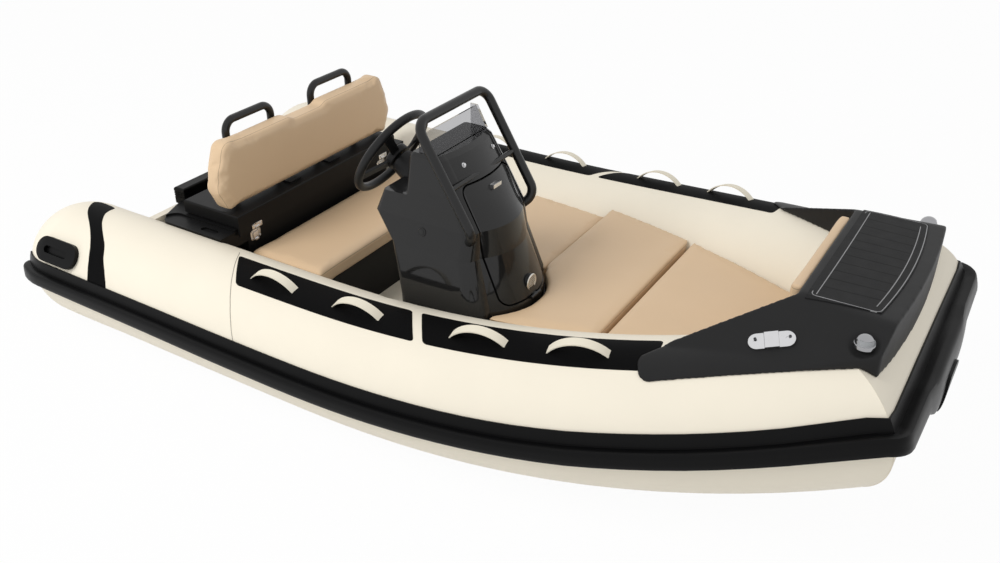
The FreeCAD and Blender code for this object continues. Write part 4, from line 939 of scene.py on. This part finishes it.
# %% [markdown]
# ## Draw latches
#
# The locker lid is held by two stainless draw latches. Each has a base with a lever and a wire
# bail on the locker, and a keeper with a hook on the lid. The CAD holds their places as plain
# blocks. Here one of each is built flat, facing up. Its copies stand on the locker's front.

# %% The latch on the locker and the keeper on the lid
LATCH_WIDTH, PLATE_DEPTH, LATCH_SCREW = 0.050, 0.0020, 0.0034
BAIL = ((0.015, -0.004, 0.004), (0.015, 0.006, 0.006), (0.015, 0.022, 0.0062),
        (0.013, 0.0265, 0.0062))


def screw_pair(reach, y):
    """Two screws in a plate, a given reach to each side of its middle."""
    screws = [make_screw(LATCH_SCREW) for _ in range(2)]
    for screw, x in zip(screws, (-reach, reach)):
        for vertex in screw.data.vertices:
            vertex.co += Vector((x, y, 0.0018))
    return screws


def latch_base():
    plate = slab(LATCH_WIDTH, 0.040, PLATE_DEPTH, 0.010)
    lever = slab(0.026, 0.034, 0.0045, 0.005, 0.0012, (0.0, -0.004))
    tip = slab(0.018, 0.008, 0.0085, 0.003, 0.0012, (0.0, -0.017))
    bail = wire_loop([(-x, y, z) for x, y, z in BAIL] + list(reversed(BAIL)), 0.0014)
    return join("latch_base", plate, lever, tip, bail, *screw_pair(0.0195, -0.010))


def latch_hook():
    plate = slab(LATCH_WIDTH, 0.020, PLATE_DEPTH, 0.004)
    hook = slab(0.024, 0.006, 0.0052, 0.0015, 0.0008, (0.0, -0.0055))
    return join("latch_hook", plate, hook, *screw_pair(0.017, 0.003))


print("latch helpers ready")

# %% Two latches, copied from one
LATCH_Y, BASE_PLACE, HOOK_PLACE = 0.366, (0.3712, 0.351), (0.3852, 0.3925)
base_model, hook_model = latch_base(), latch_hook()
for side_name, side in SIDES:
    base = copy_of(base_model, "latch_base_" + side_name)
    settle(base, Vector((BASE_PLACE[0], side * LATCH_Y, BASE_PLACE[1])), FORWARD)
    dress(base, steel, "boat")
    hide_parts("latch_bodies")
    hook = copy_of(hook_model, "latch_hook_" + side_name)
    settle(hook, Vector((HOOK_PLACE[0], side * LATCH_Y, HOOK_PLACE[1])), FORWARD)
    dress(hook, steel, "lid")
    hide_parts("latch_keepers")
for model in (base_model, hook_model):
    bpy.data.objects.remove(model)
print("latches set")

# %% [markdown]
# ## Helm fittings
#
# Two thumb nuts hold the screen, a lock sits in the starboard side, and a small round vent
# with slats closes the foot of the door.

# %% Thumb nuts that hold the screen
def thumb_nut():
    washer = disc(32, 0.0075, 0.0016, 0.0008)
    grip = disc(6, 0.0055, 0.005, 0.0040)
    edit_faces(grip, is_top)
    bpy.ops.mesh.inset(thickness=0.0012)
    push_up(0.0012)
    object_mode()
    apply_modifier(grip, "BEVEL", width=0.0005, segments=2)
    return join("thumb_nut", washer, grip)


NUT_Z, NUT_AT = 0.812, {"starboard": -0.335, "port": -0.168}
nut_model = thumb_nut()
for side_name, y in NUT_AT.items():
    nut = copy_of(nut_model, "thumb_nut_" + side_name)
    settle(nut, *touch("console", (1.5, y, NUT_Z), -FORWARD))
    dress(nut, steel, "boat")
bpy.data.objects.remove(nut_model)
print("thumb nuts set")

# %% The lock in the console's side
LOCK_RADIUS, LOCK_START = 0.0125, (1.167, -0.7, 0.605)
lock_ring = torus(LOCK_RADIUS, 0.0016, 40, 0.0006)
lock_face = disc(40, LOCK_RADIUS, 0.0014, 0.0007)
edit_faces(lock_face, is_top)
bpy.ops.mesh.inset(thickness=0.0045)
push_up(0.0012)
object_mode()
apply_modifier(lock_face, "BEVEL", width=0.0004, segments=2)
side_lock = join("side_lock", lock_ring, lock_face)
settle(side_lock, *touch("console", LOCK_START, (0.0, 1.0, 0.0)))
dress(side_lock, rail_black, "boat")
print("lock set")

# %% The slatted vent at the foot of the door
vent_steel = metal("vent brushed steel", (0.74, 0.73, 0.69), 0.3)
VENT_RADIUS, SLAT_PITCH, SLAT_WIDTH, SLAT_DEPTH = 0.027, 0.0066, 0.0034, 0.0026
vent_ring = torus(VENT_RADIUS - 0.002, 0.0026, 56, 0.001)
slats = []
for step in range(-3, 4):
    y = SLAT_PITCH * step
    length = 2.0 * math.sqrt((VENT_RADIUS - 0.003) ** 2 - y ** 2)
    slats.append(slab(length, SLAT_WIDTH, SLAT_DEPTH, 0.0012, 0.0006, (0.0, y)))
# The black well behind the slats is painted shade where the vent opens into the console.
vent_painted_shade_well = disc(56, VENT_RADIUS - 0.001, 0.012, -0.0055)
vent_painted_shade_well.name = "vent_painted_shade_well"
vent_face = join("vent_face", vent_ring, *slats)
vent_low, vent_high = (Vector(place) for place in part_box("door_vent"))
vent_centre = (vent_low + vent_high) / 2
vent_centre.x = vent_high.x - 0.004
settle(vent_face, vent_centre, FORWARD)
settle(vent_painted_shade_well, vent_centre, FORWARD)
dress(vent_face, vent_steel, "door")
dress(vent_painted_shade_well, rail_black, "door")
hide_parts("door_vent")
print("vent set at", [round(v, 3) for v in vent_centre])

# %% [markdown]
# ## Bow lights
#
# Each bow light is a low chrome dome over a base ring, with one lens cut into its outboard
# side. A sphere is cut at its waist, flattened, and its lens faces are inset and pushed in.

# %% One bow light, turned outboard for each side
LENS_GREY = (0.30, 0.31, 0.32)
RING_RADIUS, DOME_RADIUS, DOME_FLATTEN, DOME_LIFT = 0.0275, 0.0255, 0.92, 0.005
LENS_LOW, LENS_HIGH, LENS_SPREAD, LENS_INSET = 0.007, 0.020, 0.35, 0.0012
LIGHT_Y, LIGHT_LIFT = 0.380, 0.018
lens_tint = Finish("bow light lens", LENS_GREY, 0.06)
lens_tint.speckle(LENS_GREY, 0.1, 60.0)
lens_tint.set("Roughness", lens_tint.noise(80.0) * 0.04 + 0.05)


def bow_light(side):
    ring = disc(48, RING_RADIUS, 0.010, 0.001)
    edit_faces(ring, is_top)
    bpy.ops.mesh.bevel(offset=0.002, segments=3, affect="EDGES")
    object_mode()
    dome = add(bpy.ops.mesh.primitive_uv_sphere_add, segments=48, ring_count=24,
               radius=DOME_RADIUS)
    edit_all(dome)
    bpy.ops.mesh.bisect(plane_co=(0.0, 0.0, 0.0), plane_no=UP, clear_inner=True)
    bpy.ops.mesh.select_all(action="SELECT")
    bpy.ops.transform.resize(value=(1.0, 1.0, DOME_FLATTEN))
    bpy.ops.transform.translate(value=(0.0, 0.0, DOME_LIFT))
    object_mode()
    dome.data.materials.append(chrome.material)
    dome.data.materials.append(lens_tint.material)
    outboard = Vector((0.5, side * 0.86, 0.0)).normalized()
    edit_faces(dome, lambda face: LENS_LOW < face.center.z < LENS_HIGH and
               Vector((*face.center.xy, 0.0)).normalized().dot(outboard) > LENS_SPREAD)
    bpy.context.object.active_material_index = 1
    bpy.ops.object.material_slot_assign()
    bpy.ops.mesh.inset(thickness=LENS_INSET, depth=-LENS_INSET)
    object_mode()
    ring.data.materials.append(chrome.material)
    return join("bow_light", dome, ring)


light_low, light_high = (Vector(place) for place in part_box("nav_lights"))
for side_name, side in SIDES:
    light = bow_light(side)
    light.name = "bow_light_" + side_name
    settle(light, Vector(((light_low.x + light_high.x) / 2, side * LIGHT_Y,
                          light_low.z + LIGHT_LIFT)), UP, Vector((0.0, 1.0, 0.0)))
    smooth_below(light, 35)
    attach(light, "boat")
    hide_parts("nav_lights")
print("bow lights set")

# %% [markdown]
# ## Bow cover
#
# The cover is a moulding, so none of its edges are sharp. A bevel would need every edge of the
# CAD solid to be clean, and the recesses for the lights break them. Instead a copy of the
# solid is remeshed into small even faces and smoothed, which rounds all edges alike.

# %% A copy of the cover with soft edges
cover_shell = copy_of_node("bow_cover", "bow_cover_shell")
apply_modifier(cover_shell, "REMESH", mode="VOXEL", voxel_size=0.0032)
apply_modifier(cover_shell, "SMOOTH", factor=0.5, iterations=30)
apply_modifier(cover_shell, "DECIMATE", ratio=0.5)
select_only(cover_shell)
bpy.ops.object.shade_smooth()
cover_shell.data.materials.append(moulded_black.material)
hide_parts("bow_cover")
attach(cover_shell, "boat")
print("bow cover", len(cover_shell.data.polygons), "faces")

# %% [markdown]
# ## Floor, light and camera
#
# The boat floats, so the pale floor lies at its waterline. The light is a broad lamp high on
# the starboard quarter, a weak one off the bow and a pale world. The camera stands off the
# starboard bow, at the place that the collar's outlines gave.

# %% Floor and world
WHITE = (1.0, 1.0, 1.0, 1.0)
SEEN_RAYS = ("Is Camera Ray", "Is Transmission Ray", "Is Glossy Ray")
floor = add(bpy.ops.mesh.primitive_plane_add, size=60.0)
floor.name = "floor"
floor_finish = Finish("floor pale", (0.85, 0.85, 0.85), 0.95)
floor_tree = floor_finish.tree
white = floor_finish.node("ShaderNodeEmission", None, WHITE, 1.0)
looks = [floor_finish.node("ShaderNodeLightPath", output=kind) for kind in SEEN_RAYS]
seen_straight = looks[0].largest(looks[1]).largest(looks[2])
lit = Wire(floor_finish, floor_finish.shader.outputs["BSDF"])
mixed = floor_finish.node("ShaderNodeMixShader", None, seen_straight * 0.96, lit, white)
floor_tree.links.new(mixed.socket, floor_tree.nodes["Material Output"].inputs["Surface"])
floor.data.materials.append(floor_finish.material)
world = bpy.data.worlds.new("studio")
bpy.context.scene.world = world
world.use_nodes = True
world_nodes = world.node_tree.nodes
world_links = world.node_tree.links
sky, seen = world_nodes["Background"], world_nodes.new("ShaderNodeBackground")
for background, strength in ((sky, 0.5), (seen, 1.0)):
    background.inputs["Color"].default_value = WHITE
    background.inputs["Strength"].default_value = strength
ray = world_nodes.new("ShaderNodeLightPath")
seen_by = ray.outputs[SEEN_RAYS[0]]
for kind in SEEN_RAYS[1:]:
    either = world_nodes.new("ShaderNodeMath")
    either.operation = "MAXIMUM"
    world_links.new(seen_by, either.inputs[0])
    world_links.new(ray.outputs[kind], either.inputs[1])
    seen_by = either.outputs[0]
blend_sky = world_nodes.new("ShaderNodeMixShader")
for socket, source in zip(blend_sky.inputs, (seen_by, sky.outputs[0], seen.outputs[0])):
    world_links.new(source, socket)
world_links.new(blend_sky.outputs[0], world_nodes["World Output"].inputs["Surface"])
print("floor and world ready")


# %% Lamps
def lamp(name, place, target, size, watts):
    data = bpy.data.lights.new(name, "AREA")
    data.shape = "DISK"
    data.size = size
    data.energy = watts
    lamp_object = bpy.data.objects.new(name, data)
    bpy.context.scene.collection.objects.link(lamp_object)
    lamp_object.location = place
    aim = Vector(target) - Vector(place)
    lamp_object.rotation_euler = aim.to_track_quat("-Z", "Y").to_euler()
    lamp_object.visible_glossy = False


lamp("key lamp", (-1.5, -4.0, 5.0), (1.0, 0.0, 0.2), size=3.0, watts=218.0)
lamp("fill lamp", (5.0, -2.0, 4.0), (1.2, 0.0, 0.3), size=4.0, watts=40.0)
print("lamps ready")

# %% Camera from the fitted view
CAMERA_AZIMUTH = math.radians(31.718)
CAMERA_ELEVATION = math.radians(30.355)
CAMERA_PLACE = Vector((2.7809, -2.5902, 2.0022))
LENS_PIXELS = 988.70
FRAME_WIDTH = 1000
SENSOR = 36.0

backward = Vector((math.sin(CAMERA_AZIMUTH) * math.cos(CAMERA_ELEVATION),
                   -math.cos(CAMERA_AZIMUTH) * math.cos(CAMERA_ELEVATION),
                   math.sin(CAMERA_ELEVATION)))
camera_data = bpy.data.cameras.new("camera")
camera_data.sensor_width = SENSOR
camera_data.lens = LENS_PIXELS / FRAME_WIDTH * SENSOR
camera = bpy.data.objects.new("camera", camera_data)
bpy.context.scene.collection.objects.link(camera)
camera.location = CAMERA_PLACE
camera.rotation_euler = (-backward).to_track_quat("-Z", "Y").to_euler()
bpy.context.scene.camera = camera
bpy.context.scene.view_settings.view_transform = "Standard"
print("camera lens", round(camera_data.lens, 2))
